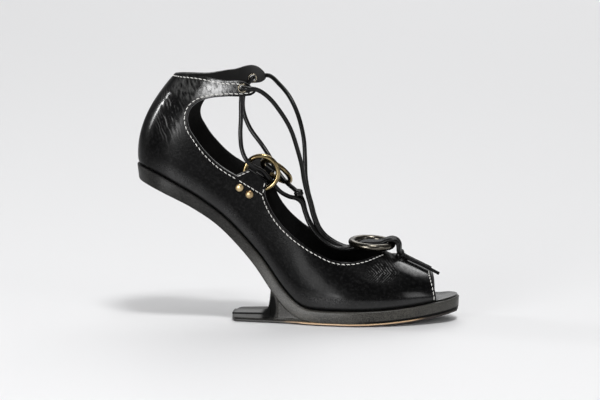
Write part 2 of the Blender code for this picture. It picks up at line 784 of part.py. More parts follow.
def build_cord(name, points, radius, step):
    """A round cord along a route, as a tube of few sides."""
    curve = bpy.data.curves.new(name, "CURVE")
    curve.dimensions = "3D"
    curve.bevel_depth = radius * MM
    curve.bevel_resolution = 2
    curve.use_fill_caps = True
    route = smooth_route(points, step)
    spline = curve.splines.new("POLY")
    spline.points.add(len(route) - 1)
    for point, place in zip(spline.points, route):
        point.co = (*(place * MM), 1.0)
    add_object(name, curve, "lace_leather")


# The lace of one side, with Y as the distance from the middle: from the tie on the vamp over the front wire
# of the front ring, through that ring, up under the knot to the side ring, through it, up to the strap, out
# through the eyelet, down in the long arc, and back through the front ring to the tie.
RING_OVER = [
    (66.8, 45.3),
    (66.7, 48.4),
    (65.2, 51.1),
    (61.8, 52.2),
    (58.2, 51.2),
    (53.0, 49.2),
    (44.0, 47.6),
    (36.0, 46.5),
]
RETURN_Y = 4.6
ARC_Y = 1.6
LACE_RETURN = [
    (28.4, 4.6, 46.2),
    (22.6, 4.4, 48.0),
    (17.0, 4.0, 51.6),
    (12.0, 3.4, 56.6),
    (8.0, 2.6, 62.8),
    (4.4, 2.0, 69.6),
]
LACE_BACK = {
    "lateral": [
        (1.6, 2.4, 74.4),
        (-1.4, 4.4, 77.4),
        (-5.4, 8.6, 80.6),
        (-10.8, 14.4, 86.0),
        (-16.2, 18.6, 93.4),
        (-20.4, 22.4, 98.8),
        (-24.4, 26.6, 101.6),
        (-29.0, 28.6, 105.6),
        (-32.6, 27.4, 112.6),
        (-33.9, 25.4, 122.0),
        (-33.6, 24.6, 134.0),
        (-33.4, 24.4, 146.6),
    ],
    "medial": [
        (1.9, 2.2, 74.6),
        (-1.6, 4.6, 78.2),
        (-6.4, 7.6, 81.6),
        (-10.4, 9.6, 85.0),
        (-15.2, 12.2, 92.2),
        (-20.2, 15.8, 103.6),
        (-25.4, 19.4, 110.8),
        (-31.2, 22.2, 121.6),
        (-34.4, 23.4, 134.0),
        (-34.0, 24.4, 147.0),
    ],
}
LACE_ARC = {
    "lateral": [
        (-22.6, 31.8, 152.6),
        (-15.6, 27.0, 147.2),
        (-8.6, 21.4, 137.4),
        (-2.6, 15.4, 125.5),
        (1.6, 9.6, 110.5),
        (3.8, 5.6, 100.0),
        (5.0, 2.8, 90.0),
        (6.2, 1.9, 81.0),
        (7.8, 1.9, 73.5),
        (10.8, 1.9, 66.0),
        (15.3, 1.8, 58.2),
        (19.6, 1.7, 53.8),
        (28.0, 1.6, 48.8),
    ],
    "medial": [
        (-22.0, 31.8, 154.6),
        (-13.8, 24.4, 149.4),
        (-7.0, 18.4, 142.6),
        (-0.8, 12.6, 131.6),
        (3.6, 7.6, 116.5),
        (4.8, 4.8, 103.0),
        (5.4, 3.0, 92.0),
        (6.4, 2.0, 82.0),
        (8.0, 1.9, 74.0),
        (11.0, 1.9, 66.5),
        (15.5, 1.8, 58.7),
        (19.8, 1.7, 54.2),
        (28.0, 1.6, 49.0),
    ],
}
LACE_KNOT_AT = (1.0, 0.0, 80.0)
LACE_KNOT_RADII = (3.0, 3.0, 3.45)
LACE_STEP = 5.4
# How far, along the eyelet's axis, the lace runs straight, and where it then turns forward.
EYELET_RUN = 2.4
EYELET_LEAVE = 4.9
EYELET_TURN = Vector((2.6, 0.0, 0.3))


def lace_route(name, side):
    """The whole route of one side's lace, through the eyelet along its own axis."""
    start = [(x, RETURN_Y, z) for x, z in RING_OVER]
    end = [(x, ARC_Y, z) for x, z in reversed(RING_OVER)]
    point, normal = wall_at(side, *EYELET_AT)
    middle = point - normal * 0.5 * WALL
    leave = middle + normal * EYELET_LEAVE + EYELET_TURN
    eyelet = [middle - normal * EYELET_RUN, middle, middle + normal * EYELET_RUN, leave]
    inside = [(x, side * y, z) for x, y, z in start + LACE_RETURN + LACE_BACK[name]]
    outside = [(x, side * y, z) for x, y, z in LACE_ARC[name] + end]
    return inside + eyelet + outside


def build_laces():
    """One lace for each side, and the knot that their ends meet in."""
    for name, side in SIDES.items():
        build_cord(f"lace_{name}", lace_route(name, side), LACE_R, LACE_STEP)
    build_bead("lace_knot", LACE_KNOT_AT, LACE_KNOT_RADII, Vector((0.0, 0.0, 1.0)))


def build_bead(name, centre, radii, axis):
    """A tight knot as a rounded bead."""
    bm = bmesh.new()
    bmesh.ops.create_uvsphere(bm, u_segments=12, v_segments=8, radius=1.0)
    bmesh.ops.scale(bm, vec=radii, verts=bm.verts)
    bmesh.ops.transform(bm, matrix=placed(Vector(centre), axis), verts=bm.verts)
    add_object(name, mesh_from(bm, name), "lace_leather")


# The tie on the vamp that the laces end in, with two of their ends along the ridge
TIE_KNOT_AT = (67.6, 0.4, 42.9)
TIE_KNOT_RADII = (2.2, 5.6, 1.5)
TIE_KNOT_LEAN = Vector((0.42, 0.0, 1.0))
TIE_STEP = 4.0
TIE_ENDS = {
    "tie_end_long": [
        (71.6, -0.9, 40.8),
        (76.0, -1.0, 38.6),
        (82.0, -0.7, 35.7),
        (88.0, 0.0, 32.6),
        (92.8, 0.4, 30.0),
    ],
    "tie_end_short": [
        (71.6, 2.3, 40.8),
        (76.0, 2.6, 38.7),
        (82.0, 2.9, 35.8),
        (87.4, 3.2, 33.2),
    ],
}


def build_tie():
    """The tie's knot and ends."""
    build_bead("tie_knot", TIE_KNOT_AT, TIE_KNOT_RADII, TIE_KNOT_LEAN)
    for name, points in TIE_ENDS.items():
        build_cord(name, points, TIE_R, TIE_STEP)


clear_scene()
SHOE = collection("heelless_shoe")
CUTTERS = collection("cutters")
ROOT = bpy.data.objects.new("shoe", None)
SHOE.objects.link(ROOT)
build_outsole()
build_platform()
build_spur()
build_insole()
build_upper()
build_ring_loops()
build_front_ring()
build_side_rings()
build_rivets()
build_eyelets()
build_laces()
build_tie()
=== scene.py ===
"""Looks of a heelless lace-up peep-toe shoe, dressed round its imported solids.

X runs from heel to toe, Y towards the inner side of the foot and Z up. Sizes are in millimetres until a mesh
is made.
"""

import logging
import math
from dataclasses import dataclass, field
from enum import Enum
from typing import Callable, NamedTuple, Optional, Sequence, TypeVar, Union

import bmesh
import bpy
import numpy as np
from mathutils import Matrix, Vector, geometry, kdtree


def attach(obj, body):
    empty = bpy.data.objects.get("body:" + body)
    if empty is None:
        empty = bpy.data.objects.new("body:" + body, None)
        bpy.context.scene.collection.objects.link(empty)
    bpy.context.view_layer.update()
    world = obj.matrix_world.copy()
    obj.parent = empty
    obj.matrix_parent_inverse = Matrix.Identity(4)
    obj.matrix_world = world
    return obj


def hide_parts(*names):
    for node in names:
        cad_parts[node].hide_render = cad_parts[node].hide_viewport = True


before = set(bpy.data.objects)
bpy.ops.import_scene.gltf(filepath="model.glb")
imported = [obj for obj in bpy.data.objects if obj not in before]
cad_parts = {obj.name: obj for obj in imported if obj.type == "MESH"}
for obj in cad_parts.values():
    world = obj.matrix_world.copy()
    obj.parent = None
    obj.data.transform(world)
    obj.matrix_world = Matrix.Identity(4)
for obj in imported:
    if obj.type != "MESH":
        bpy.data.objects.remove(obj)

MM = 0.001
WELD = 0.003
LOG = logging.getLogger("shoe")
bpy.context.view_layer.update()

Pair = tuple[float, float]
Place = tuple[float, float]
Point = tuple[float, float, float]
Colour = tuple[float, float, float]
Loop = Sequence[Sequence[float]]
Frame = tuple[Vector, Vector, Vector, Vector]


class Side(Enum):
    """The two sides of the foot, with the sign of Y."""

    LATERAL = -1
    MEDIAL = 1

    @property
    def label(self) -> str:
        """The side's name in a node."""
        return self.name.lower()


class SoleRow(NamedTuple):
    """One section of the sole, from the heel's back to the toe."""

    x: float
    half: float
    centre: float
    deck_rise: float
    under_x: float
    under_z: float

    def mirrored(self) -> "SoleRow":
        """The row seen from the other side of the middle plane."""
        return self._replace(half=-self.half)


class RibRow(NamedTuple):
    """One rib of the last's side wall, from the deck's edge to its top."""

    top_x: float
    top_half: float
    top_z: float
    top_skew: float
    rise: float
    flare: float
    spread: float
    drop: float

    def mirrored(self) -> "RibRow":
        """The row seen from the other side of the middle plane."""
        return self._replace(top_half=-self.top_half, top_skew=-self.top_skew)


class CutRow(NamedTuple):
    """One point of the upper's cut, seen from the side."""

    x: float
    z: float
    corner: bool


class Crease(NamedTuple):
    """A soft trough in the leather, or a ridge where depth is negative, seen from the side."""

    x0: float
    z0: float
    x1: float
    z1: float
    width: float
    depth: float


class Area(NamedTuple):
    """An ellipse on the shoe, seen from the side."""

    x: float
    z: float
    half_long: float
    half_high: float


class Winding(NamedTuple):
    """Cord wound round an axis, and the CAD node that it stands for."""

    node: str
    at: Point
    axis: Point
    radius: float
    turns: float
    pitch: float


class Softbox(NamedTuple):
    """A rectangular light, in metres and watts."""

    name: str
    at: Point
    aim: Point
    size: Pair
    watts: float


Row = TypeVar("Row", SoleRow, RibRow)

SOLE = (
    SoleRow(-104.4, 0.0, 0.0, 100.8, 1.2, 9.4),
    SoleRow(-101.6, 11.6, 0.0, 100.1, 0.6, 9.7),
    SoleRow(-93.5, 20.9, 0.0, 97.7, -1.2, 9.4),
    SoleRow(-80.0, 26.0, 0.0, 91.4, -3.6, 7.9),
    SoleRow(-60.0, 25.2, -0.4, 79.6, -4.1, 6.1),
    SoleRow(-42.0, 22.6, -0.8, 65.3, -4.5, 4.8),
    SoleRow(-22.0, 21.4, -1.2, 43.3, -5.1, 4.2),
    SoleRow(-6.0, 25.2, -1.5, 22.0, -5.3, 4.6),
    SoleRow(6.0, 29.8, -1.5, 11.6, -3.6, 6.6),
    SoleRow(20.0, 33.8, -1.3, 9.6, -0.4, 7.7),
    SoleRow(40.0, 36.6, -0.4, 9.6, 0.0, 7.7),
    SoleRow(60.0, 35.2, 1.2, 9.6, 0.0, 7.7),
    SoleRow(76.0, 30.4, 2.4, 9.6, 0.3, 7.7),
    SoleRow(90.4, 22.4, 3.2, 9.6, 0.3, 7.7),
    SoleRow(98.5, 15.9, 3.4, 9.6, 0.2, 7.7),
    SoleRow(104.0, 7.6, 3.5, 9.6, 0.0, 7.7),
    SoleRow(105.6, 0.0, 3.5, 9.6, -0.4, 7.7),
)

RIBS = (
    RibRow(-79.5, 0.0, 159.2, 0.0, 21.0, 2.3, 16.5, 18.2),
    RibRow(-77.2, 9.2, 159.2, -0.5, 21.0, 2.4, 14.5, 18.0),
    RibRow(-71.0, 17.5, 159.0, -1.2, 21.5, 2.7, 9.0, 18.0),
    RibRow(-60.0, 24.5, 158.6, -1.5, 22.5, 3.0, 3.5, 18.5),
    RibRow(-45.0, 28.4, 158.4, 0.6, 25.0, 3.2, 0.8, 20.0),
    RibRow(-27.0, 29.2, 157.2, 2.4, 30.0, 4.5, 0.0, 30.0),
    RibRow(-6.0, 21.0, 129.0, 1.0, 26.0, 6.0, 6.0, 26.0),
    RibRow(12.0, 11.0, 98.0, 0.5, 25.0, 6.0, 17.0, 16.0),
    RibRow(26.0, 4.0, 76.0, 0.2, 24.0, 5.5, 23.0, 7.0),
    RibRow(41.0, 0.0, 59.0, 0.0, 21.0, 4.5, 25.0, 2.0),
    RibRow(56.0, 0.0, 45.6, 0.0, 17.0, 3.5, 24.5, 0.5),
    RibRow(67.0, 0.0, 40.6, 0.0, 15.5, 3.0, 22.5, 0.5),
    RibRow(77.0, 0.0, 36.2, 0.0, 13.5, 2.5, 19.5, 0.5),
    RibRow(87.4, 0.0, 31.0, 0.0, 9.5, 2.0, 13.5, 0.3),
)

TOPLINE = (
    CutRow(60.5, 75.0, True),
    CutRow(58.6, 44.8, True),
    CutRow(54.5, 43.4, False),
    CutRow(45.0, 40.3, False),
    CutRow(36.0, 39.5, False),
    CutRow(27.0, 41.0, False),
    CutRow(16.7, 45.9, False),
    CutRow(7.0, 51.9, False),
    CutRow(-3.0, 60.3, False),
    CutRow(-10.5, 69.2, False),
    CutRow(-16.0, 78.5, False),
    CutRow(-18.2, 85.0, True),
    CutRow(-16.9, 93.5, True),
    CutRow(-28.2, 101.1, True),
    CutRow(-37.0, 97.0, True),
    CutRow(-45.5, 102.2, False),
    CutRow(-54.0, 109.7, False),
    CutRow(-62.7, 120.7, False),
    CutRow(-67.6, 129.5, False),
    CutRow(-67.6, 137.6, False),
    CutRow(-63.0, 143.5, False),
    CutRow(-55.0, 146.8, False),
    CutRow(-43.0, 148.5, False),
    CutRow(-30.5, 149.0, False),
    CutRow(-25.3, 150.2, False),
    CutRow(-23.2, 153.2, False),
    CutRow(-24.6, 156.4, True),
    CutRow(-24.6, 185.0, True),
    CutRow(60.5, 185.0, True),
)
THROAT_FRONT = 1
TAB_FRONT = 11
TAB_REAR = 13
WINDOW_LOW = 14
WINDOW_REAR = 18
WINDOW_TOP = 20
TIP_UNDER = 23
TIP_TOP = 26


def row_at(rows: Sequence[Row], index: int) -> Row:
    """A table's row, mirrored past the heel and, on the sole, past the toe.

    Args:
        rows: The table.
        index: The row's number, which may lie outside the table.

    Returns:
        The row, or the one that stands for it outside.
    """
    last = len(rows) - 1
    if index < 0:
        return rows[-index].mirrored()
    if index <= last:
        return rows[index]
    row = rows[2 * last - index]
    if isinstance(row, SoleRow):
        return row.mirrored()
    return RibRow(*(2.0 * b - a for a, b in zip(row, rows[last])))


def between(rows: Sequence[Row], t: float) -> Row:
    """A smooth row at place t of a table, through its rows.

    Args:
        rows: The table.
        t: The place, counted in rows.

    Returns:
        The row there, on a Catmull-Rom curve.
    """
    i = min(max(int(math.floor(t)), 0), len(rows) - 2)
    f = t - i
    four = [row_at(rows, i + k) for k in (-1, 0, 1, 2)]
    weights = (
        0.5 * (-f + 2.0 * f * f - f**3),
        0.5 * (2.0 - 5.0 * f * f + 3.0 * f**3),
        0.5 * (f + 4.0 * f * f - 3.0 * f**3),
        0.5 * (-f * f + f**3),
    )
    return type(rows[0])(*(sum(w * row[c] for w, row in zip(weights, four)) for c in range(len(rows[0]))))


def smoothstep(value: float) -> float:
    """A value held between 0 and 1, eased at both ends."""
    value = min(1.0, max(0.0, value))
    return value * value * (3.0 - 2.0 * value)


def halved(
    low: float,
    high: float,
    below: Callable[[float], bool],
    steps: int = 40,
) -> Pair:
    """Close in, by halving, on the place where a test stops holding.

    Args:
        low: A place where the test holds.
        high: A place where it does not.
        below: The test.
        steps: How often to halve.

    Returns:
        The places just below and just above.
    """
    for _ in range(steps):
        middle = 0.5 * (low + high)
        if below(middle):
            low = middle
        else:
            high = middle
    return low, high


def spaced(count: int, end: float) -> list[float]:
    """Places from 0 to a table's end, closer together at both of its round ends."""
    return [end * 0.5 * (1.0 - math.cos(math.pi * k / count)) for k in range(count + 1)]


def even(start: float, end: float, count: int) -> list[float]:
    """Places after one length up to another, evenly apart."""
    return [start + (end - start) * k / count for k in range(1, count + 1)]


def eased(start: float, end: float, count: int) -> list[float]:
    """Places after one length up to another, closer together towards the end."""
    return [start + (end - start) * math.sin(0.5 * math.pi * k / count) for k in range(1, count + 1)]


def smooth_route(points: Sequence[Vector], step: float) -> list[Vector]:
    """A route's own points, with more about a step apart on a smooth curve between them.

    Args:
        points: The route's points.
        step: The distance between the added points.

    Returns:
        The points of a centripetal Catmull-Rom curve.
    """
    padded = [2.0 * points[0] - points[1], *points, 2.0 * points[-1] - points[-2]]
    route = [points[0]]
    for four in zip(padded, padded[1:], padded[2:], padded[3:]):
        knots = [0.0]
        for one, two in zip(four, four[1:]):
            knots.append(knots[-1] + math.sqrt((two - one).length))
        count = max(1, round((four[2] - four[1]).length / step))
        for k in range(1, count + 1):
            at = knots[1] + (knots[2] - knots[1]) * k / count
            level = list(four)
            for span in (1, 2):
                ends = zip(level, level[1:], knots, knots[span:])
                level = [a.lerp(b, (at - low) / (high - low)) for a, b, low, high in ends]
            route.append(level[0].lerp(level[1], k / count))
    return route


def resampled(points: Sequence[Vector], step: float) -> list[tuple[Vector, Vector]]:
    """Places at even distances along a polyline.

    Args:
        points: The polyline.
        step: The distance between places.

    Returns:
        Each place with the direction along the line there.
    """
    lengths = [0.0]
    for one, two in zip(points, points[1:]):
        lengths.append(lengths[-1] + (two - one).length)
    count = max(1, round(lengths[-1] / step))
    places, index = [], 0
    for k in range(count):
        at = lengths[-1] * (k + 0.5) / count
        while index < len(points) - 2 and lengths[index + 1] < at:
            index += 1
        run = points[index + 1] - points[index]
        share = (at - lengths[index]) / max(run.length, 1e-9)
        places.append((points[index] + run * share, run.normalized()))
    return places


@dataclass
class Last:
    """The last, the sole under it and the cut of the upper, as smooth functions of named sizes."""

    gap: float = 0.3
    outsole: float = 1.6
    leather: float = 2.0
    spring_height: float = 6.2
    spring_from_x: float = 38.0
    spring_power: float = 1.9
    upper_inset: float = 0.8
    heel_to: float = 4.0
    ridge_from: float = 9.0
    toe_swing: float = 0.19
    swing_from: float = 8.0
    lean_from: float = 6.0
    lean_run: float = 3.0
    top_tilt: float = 0.035
    eyelet_at: Pair = (-32.0, 153.2)
    eyelet_near: Place = (4.7, 0.9)
    search_steps: int = 40
    tilt_steps: int = 4
    search_close: float = 1e-4
    search_reach: Pair = (0.4, 0.12)
    frames: dict[tuple[Side, float], Frame] = field(default_factory=dict)

    @property
    def rib_end(self) -> float:
        """The place of the last rib, at the peep toe."""
        return float(len(RIBS) - 1)

    @property
    def sole_end(self) -> float:
        """The place of the sole's last section."""
        return float(len(SOLE) - 1)

    @property
    def spring_run(self) -> float:
        """The length over which the toe springs up."""
        return SOLE[-1].x - self.spring_from_x

    def spring(self, x: float) -> float:
        """Height of the tread above the floor at a length."""
        run = max(0.0, x - self.spring_from_x) / self.spring_run
        return self.spring_height * run**self.spring_power

    def deck_z(self, row: SoleRow) -> float:
        """Height of the deck at a section."""
        return row.deck_rise + self.spring(row.x)

    def deck_at(self, x: float) -> float:
        """Height of the deck at a length."""
        return self.deck_z(self.section_at_x(x))

    def under_point(self, row: SoleRow) -> Pair:
        """The platform's lower edge at a section.

        Args:
            row: The section.

        Returns:
            The edge's length and height.
        """
        x = row.x + row.under_x
        floor = self.outsole + self.gap + self.spring(x)
        return x, max(floor, self.deck_z(row) - row.under_z)

    def section_at_x(self, x: float) -> SoleRow:
        """The sole's section at a length along the shoe."""
        ends = halved(0.0, self.sole_end, lambda t: between(SOLE, t).x < x)
        return between(SOLE, 0.5 * sum(ends))

    def outline_normal(self, side: Side, t: float) -> Vector:
        """Outward direction of the sole's outline, seen from above.

        Args:
            side: The side of the foot.
            t: The section's place.

        Returns:
            The direction.
        """
        tiny = 0.02
        one, two = between(SOLE, t - tiny), between(SOLE, t + tiny)
        along = Vector((two.x - one.x, side.value * (two.half - one.half), 0.0))
        return Vector((along.y, -along.x, 0.0)).normalized() * (-side.value)

    def rib_frame(self, side: Side, t: float) -> Frame:
        """The four control points of a rib.

        Args:
            side: The side of the foot.
            t: The rib's place.

        Returns:
            Foot, low handle, high handle and top.
        """
        key = (side, round(t, 6))
        if key in self.frames:
            return self.frames[key]
        sign = side.value
        rib = between(RIBS, t)
        swing = self.toe_swing * max(0.0, (t - self.swing_from) / (self.rib_end - self.swing_from))
        row = between(SOLE, t - sign * swing)
        out = Vector((0.0, sign, 0.0))
        if t < 1e-6:
            out = Vector((-1.0, 0.0, 0.0))
        elif t < self.heel_to:
            out = self.outline_normal(side, t)
        edge = Vector((row.x, row.centre + sign * row.half, self.deck_z(row) + self.gap))
        foot = edge - out * self.upper_inset
        ridge = between(SOLE, t).centre * min(1.0, max(0.0, (t - self.lean_from) / self.lean_run))
        open_top = t < self.ridge_from
        top_y = ridge + sign * (rib.top_half if open_top else 0.0)
        top = Vector((rib.top_x, top_y, rib.top_z + (sign * rib.top_skew if open_top else 0.0)))
        low = foot + out * rib.flare + Vector((0.0, 0.0, rib.rise))
        high = top + out * rib.spread - Vector((0.0, 0.0, rib.drop))
        self.frames[key] = (foot, low, high, top)
        return self.frames[key]

    def wall(self, side: Side, t: float, v: float) -> Vector:
        """A point on the upper's outer face.

        Args:
            side: The side of the foot.
            t: The rib's place, from the heel's back to the peep toe.
            v: The place on the rib, from the deck to its top.

        Returns:
            The point.
        """
        foot, low, high, top = self.rib_frame(side, t)
        a, b, c, d = (1.0 - v) ** 3, 3.0 * v * (1.0 - v) ** 2, 3.0 * v * v * (1.0 - v), v**3
        return foot * a + low * b + high * c + top * d

    def normal(self, side: Side, t: float, v: float) -> Vector:
        """Outward direction of the wall.

        Args:
            side: The side of the foot.
            t: The rib's place.
            v: The place on the rib.

        Returns:
            The direction.
        """
        tiny = 0.01
        across = self.wall(side, min(t + tiny, self.rib_end), v) - self.wall(side, max(t - tiny, 0.005), v)
        upward = self.wall(side, t, min(v + tiny, 1.0)) - self.wall(side, t, max(v - tiny, 0.0))
        found = across.cross(upward).normalized()
        return -found if found.dot(Vector((0.0, side.value, 0.2))) < 0.0 else found

    def slanted(self, point: Vector) -> Pair:
        """Length and height of a point as the slanted cut sees it."""
        return point.x, point.z - self.top_tilt * point.y

    def seen(self, side: Side, t: float, v: float) -> Pair:
        """Length and height of a wall point as the slanted cut sees it."""
        return self.slanted(self.wall(side, t, v))

    def place(self, side: Side, x: float, z: float, start: Place) -> Place:
        """The wall's place where the slanted cut sees a point.

        Args:
            side: The side of the foot.
            x: Length of the point.
            z: Height of the point.
            start: A place near it.

        Returns:
            The rib's place and the place on it.
        """
        t, v = start
        tiny = 1e-4
        reach_t, reach_v = self.search_reach
        for _ in range(self.search_steps):
            here = self.seen(side, t, v)
            miss = (x - here[0], z - here[1])
            if math.hypot(*miss) < self.search_close:
                break
            step_v = -tiny if v > 0.5 else tiny
            by_t = self.seen(side, t + tiny, v)
            by_v = self.seen(side, t, v + step_v)
            a, c = (by_t[0] - here[0]) / tiny, (by_t[1] - here[1]) / tiny
            b, d = (by_v[0] - here[0]) / step_v, (by_v[1] - here[1]) / step_v
            det = a * d - b * c
            if abs(det) < 1e-9:
                break
            t += min(reach_t, max(-reach_t, (miss[0] * d - miss[1] * b) / det))
            v += min(reach_v, max(-reach_v, (miss[1] * a - miss[0] * c) / det))
            t, v = min(self.rib_end, max(0.0, t)), min(1.0, max(0.0, v))
        return t, v

    def trail(self, side: Side, points: Loop, start: Place) -> list[Place]:
        """The wall's places where the slanted cut sees a row of points, each found from the one before.

        Args:
            side: The side of the foot.
            points: Length and height of each point.
            start: A place near the first one.

        Returns:
            The places.
        """
        places = [start]
        for x, z, *_ in points:
            places.append(self.place(side, x, z, places[-1]))
        return places[1:]

    def at(self, side: Side, x: float, z: float, start: Place) -> tuple[Vector, Vector]:
        """The wall's outer point and outward normal where a plain side view shows a point.

        Args:
            side: The side of the foot.
            x: Length of the point.
            z: Height of the point.
            start: A place near it.

        Returns:
            The point and the normal.
        """
        t, v = start
        for _ in range(self.tilt_steps):
            y = self.wall(side, t, v).y
            t, v = self.place(side, x, z - self.top_tilt * y, (t, v))
        return self.wall(side, t, v), self.normal(side, t, v)

    def eyelet_seat(self, side: Side) -> tuple[Vector, Vector]:
        """The wall's outer point and outward normal at an eyelet."""
        return self.at(side, *self.eyelet_at, self.eyelet_near)

    def top_place(self, x: float) -> float:
        """The place of the rib whose top is at a length."""
        return 0.5 * sum(halved(0.0, self.rib_end, lambda t: between(RIBS, t).top_x < x))

    def topline(self, cuts: Sequence[CutRow], steps: int) -> list[list[Vector]]:
        """The cut as Blender's own curve draws it, seen from the side.

        Args:
            cuts: The cut's table.
            steps: Points between two rows of the table.

        Returns:
            For each row, the points from it up to the next one.
        """
        curve = bpy.data.curves.new("topline", "CURVE")
        curve.dimensions = "3D"
        curve.resolution_u = steps
        spline = curve.splines.new("BEZIER")
        spline.bezier_points.add(len(cuts) - 1)
        spline.use_cyclic_u = True
        for point, cut in zip(spline.bezier_points, cuts):
            point.co = (cut.x, cut.z, 0.0)
            point.handle_left_type = point.handle_right_type = "VECTOR" if cut.corner else "AUTO"
        # A type that is set again, once every point has its place, makes Blender lay the automatic handles.
        for point in spline.bezier_points:
            point.handle_left_type = point.handle_left_type
        knots = list(spline.bezier_points)
        rows = []
        for one, two in zip(knots, knots[1:] + knots[:1]):
            bends = (one.co, one.handle_right, two.handle_left, two.co)
            rows.append([Vector(p) for p in geometry.interpolate_bezier(*bends, steps + 1)[:-1]])
        bpy.data.curves.remove(curve)
        return rows


LAST = Last()


class Sock:
    """A shader socket that takes part in Python sums and products."""

    def __init__(self, graph: "Graph", socket: bpy.types.NodeSocket) -> None:
        """Wrap a socket of a graph."""
        self.graph = graph
        self.socket = socket

    def _math(self, operation: str, *values: "Value") -> "Sock":
        """A Math node over values."""
        return self.graph.node("ShaderNodeMath", {"operation": operation}, *values)

    def __add__(self, other: "Value") -> "Sock":
        """The sum."""
        return self._math("ADD", self, other)

    def __sub__(self, other: "Value") -> "Sock":
        """The difference."""
        return self._math("SUBTRACT", self, other)

    def __rsub__(self, other: "Value") -> "Sock":
        """The difference, the other way round."""
        return self._math("SUBTRACT", other, self)

    def __mul__(self, other: "Value") -> "Sock":
        """The product."""
        return self._math("MULTIPLY", self, other)

    def __truediv__(self, other: "Value") -> "Sock":
        """The quotient."""
        return self._math("DIVIDE", self, other)

    def __pow__(self, other: "Value") -> "Sock":
        """The power."""
        return self._math("POWER", self, other)

    def __abs__(self) -> "Sock":
        """The size without the sign."""
        return self._math("ABSOLUTE", self)

    __radd__ = __add__
    __rmul__ = __mul__

    def most(self, other: "Value") -> "Sock":
        """The larger of two values."""
        return self._math("MAXIMUM", self, other)

    def sine(self) -> "Sock":
        """The sine."""
        return self._math("SINE", self)

    def eased(self, low: float, high: float) -> "Sock":
        """The value eased from 0 at low to 1 at high."""
        sockets = {"Value": self, "From Min": low, "From Max": high}
        return self.graph.node("ShaderNodeMapRange", {"interpolation_type": "SMOOTHSTEP"}, **sockets)


Value = Union[Sock, float, Sequence[float], None]


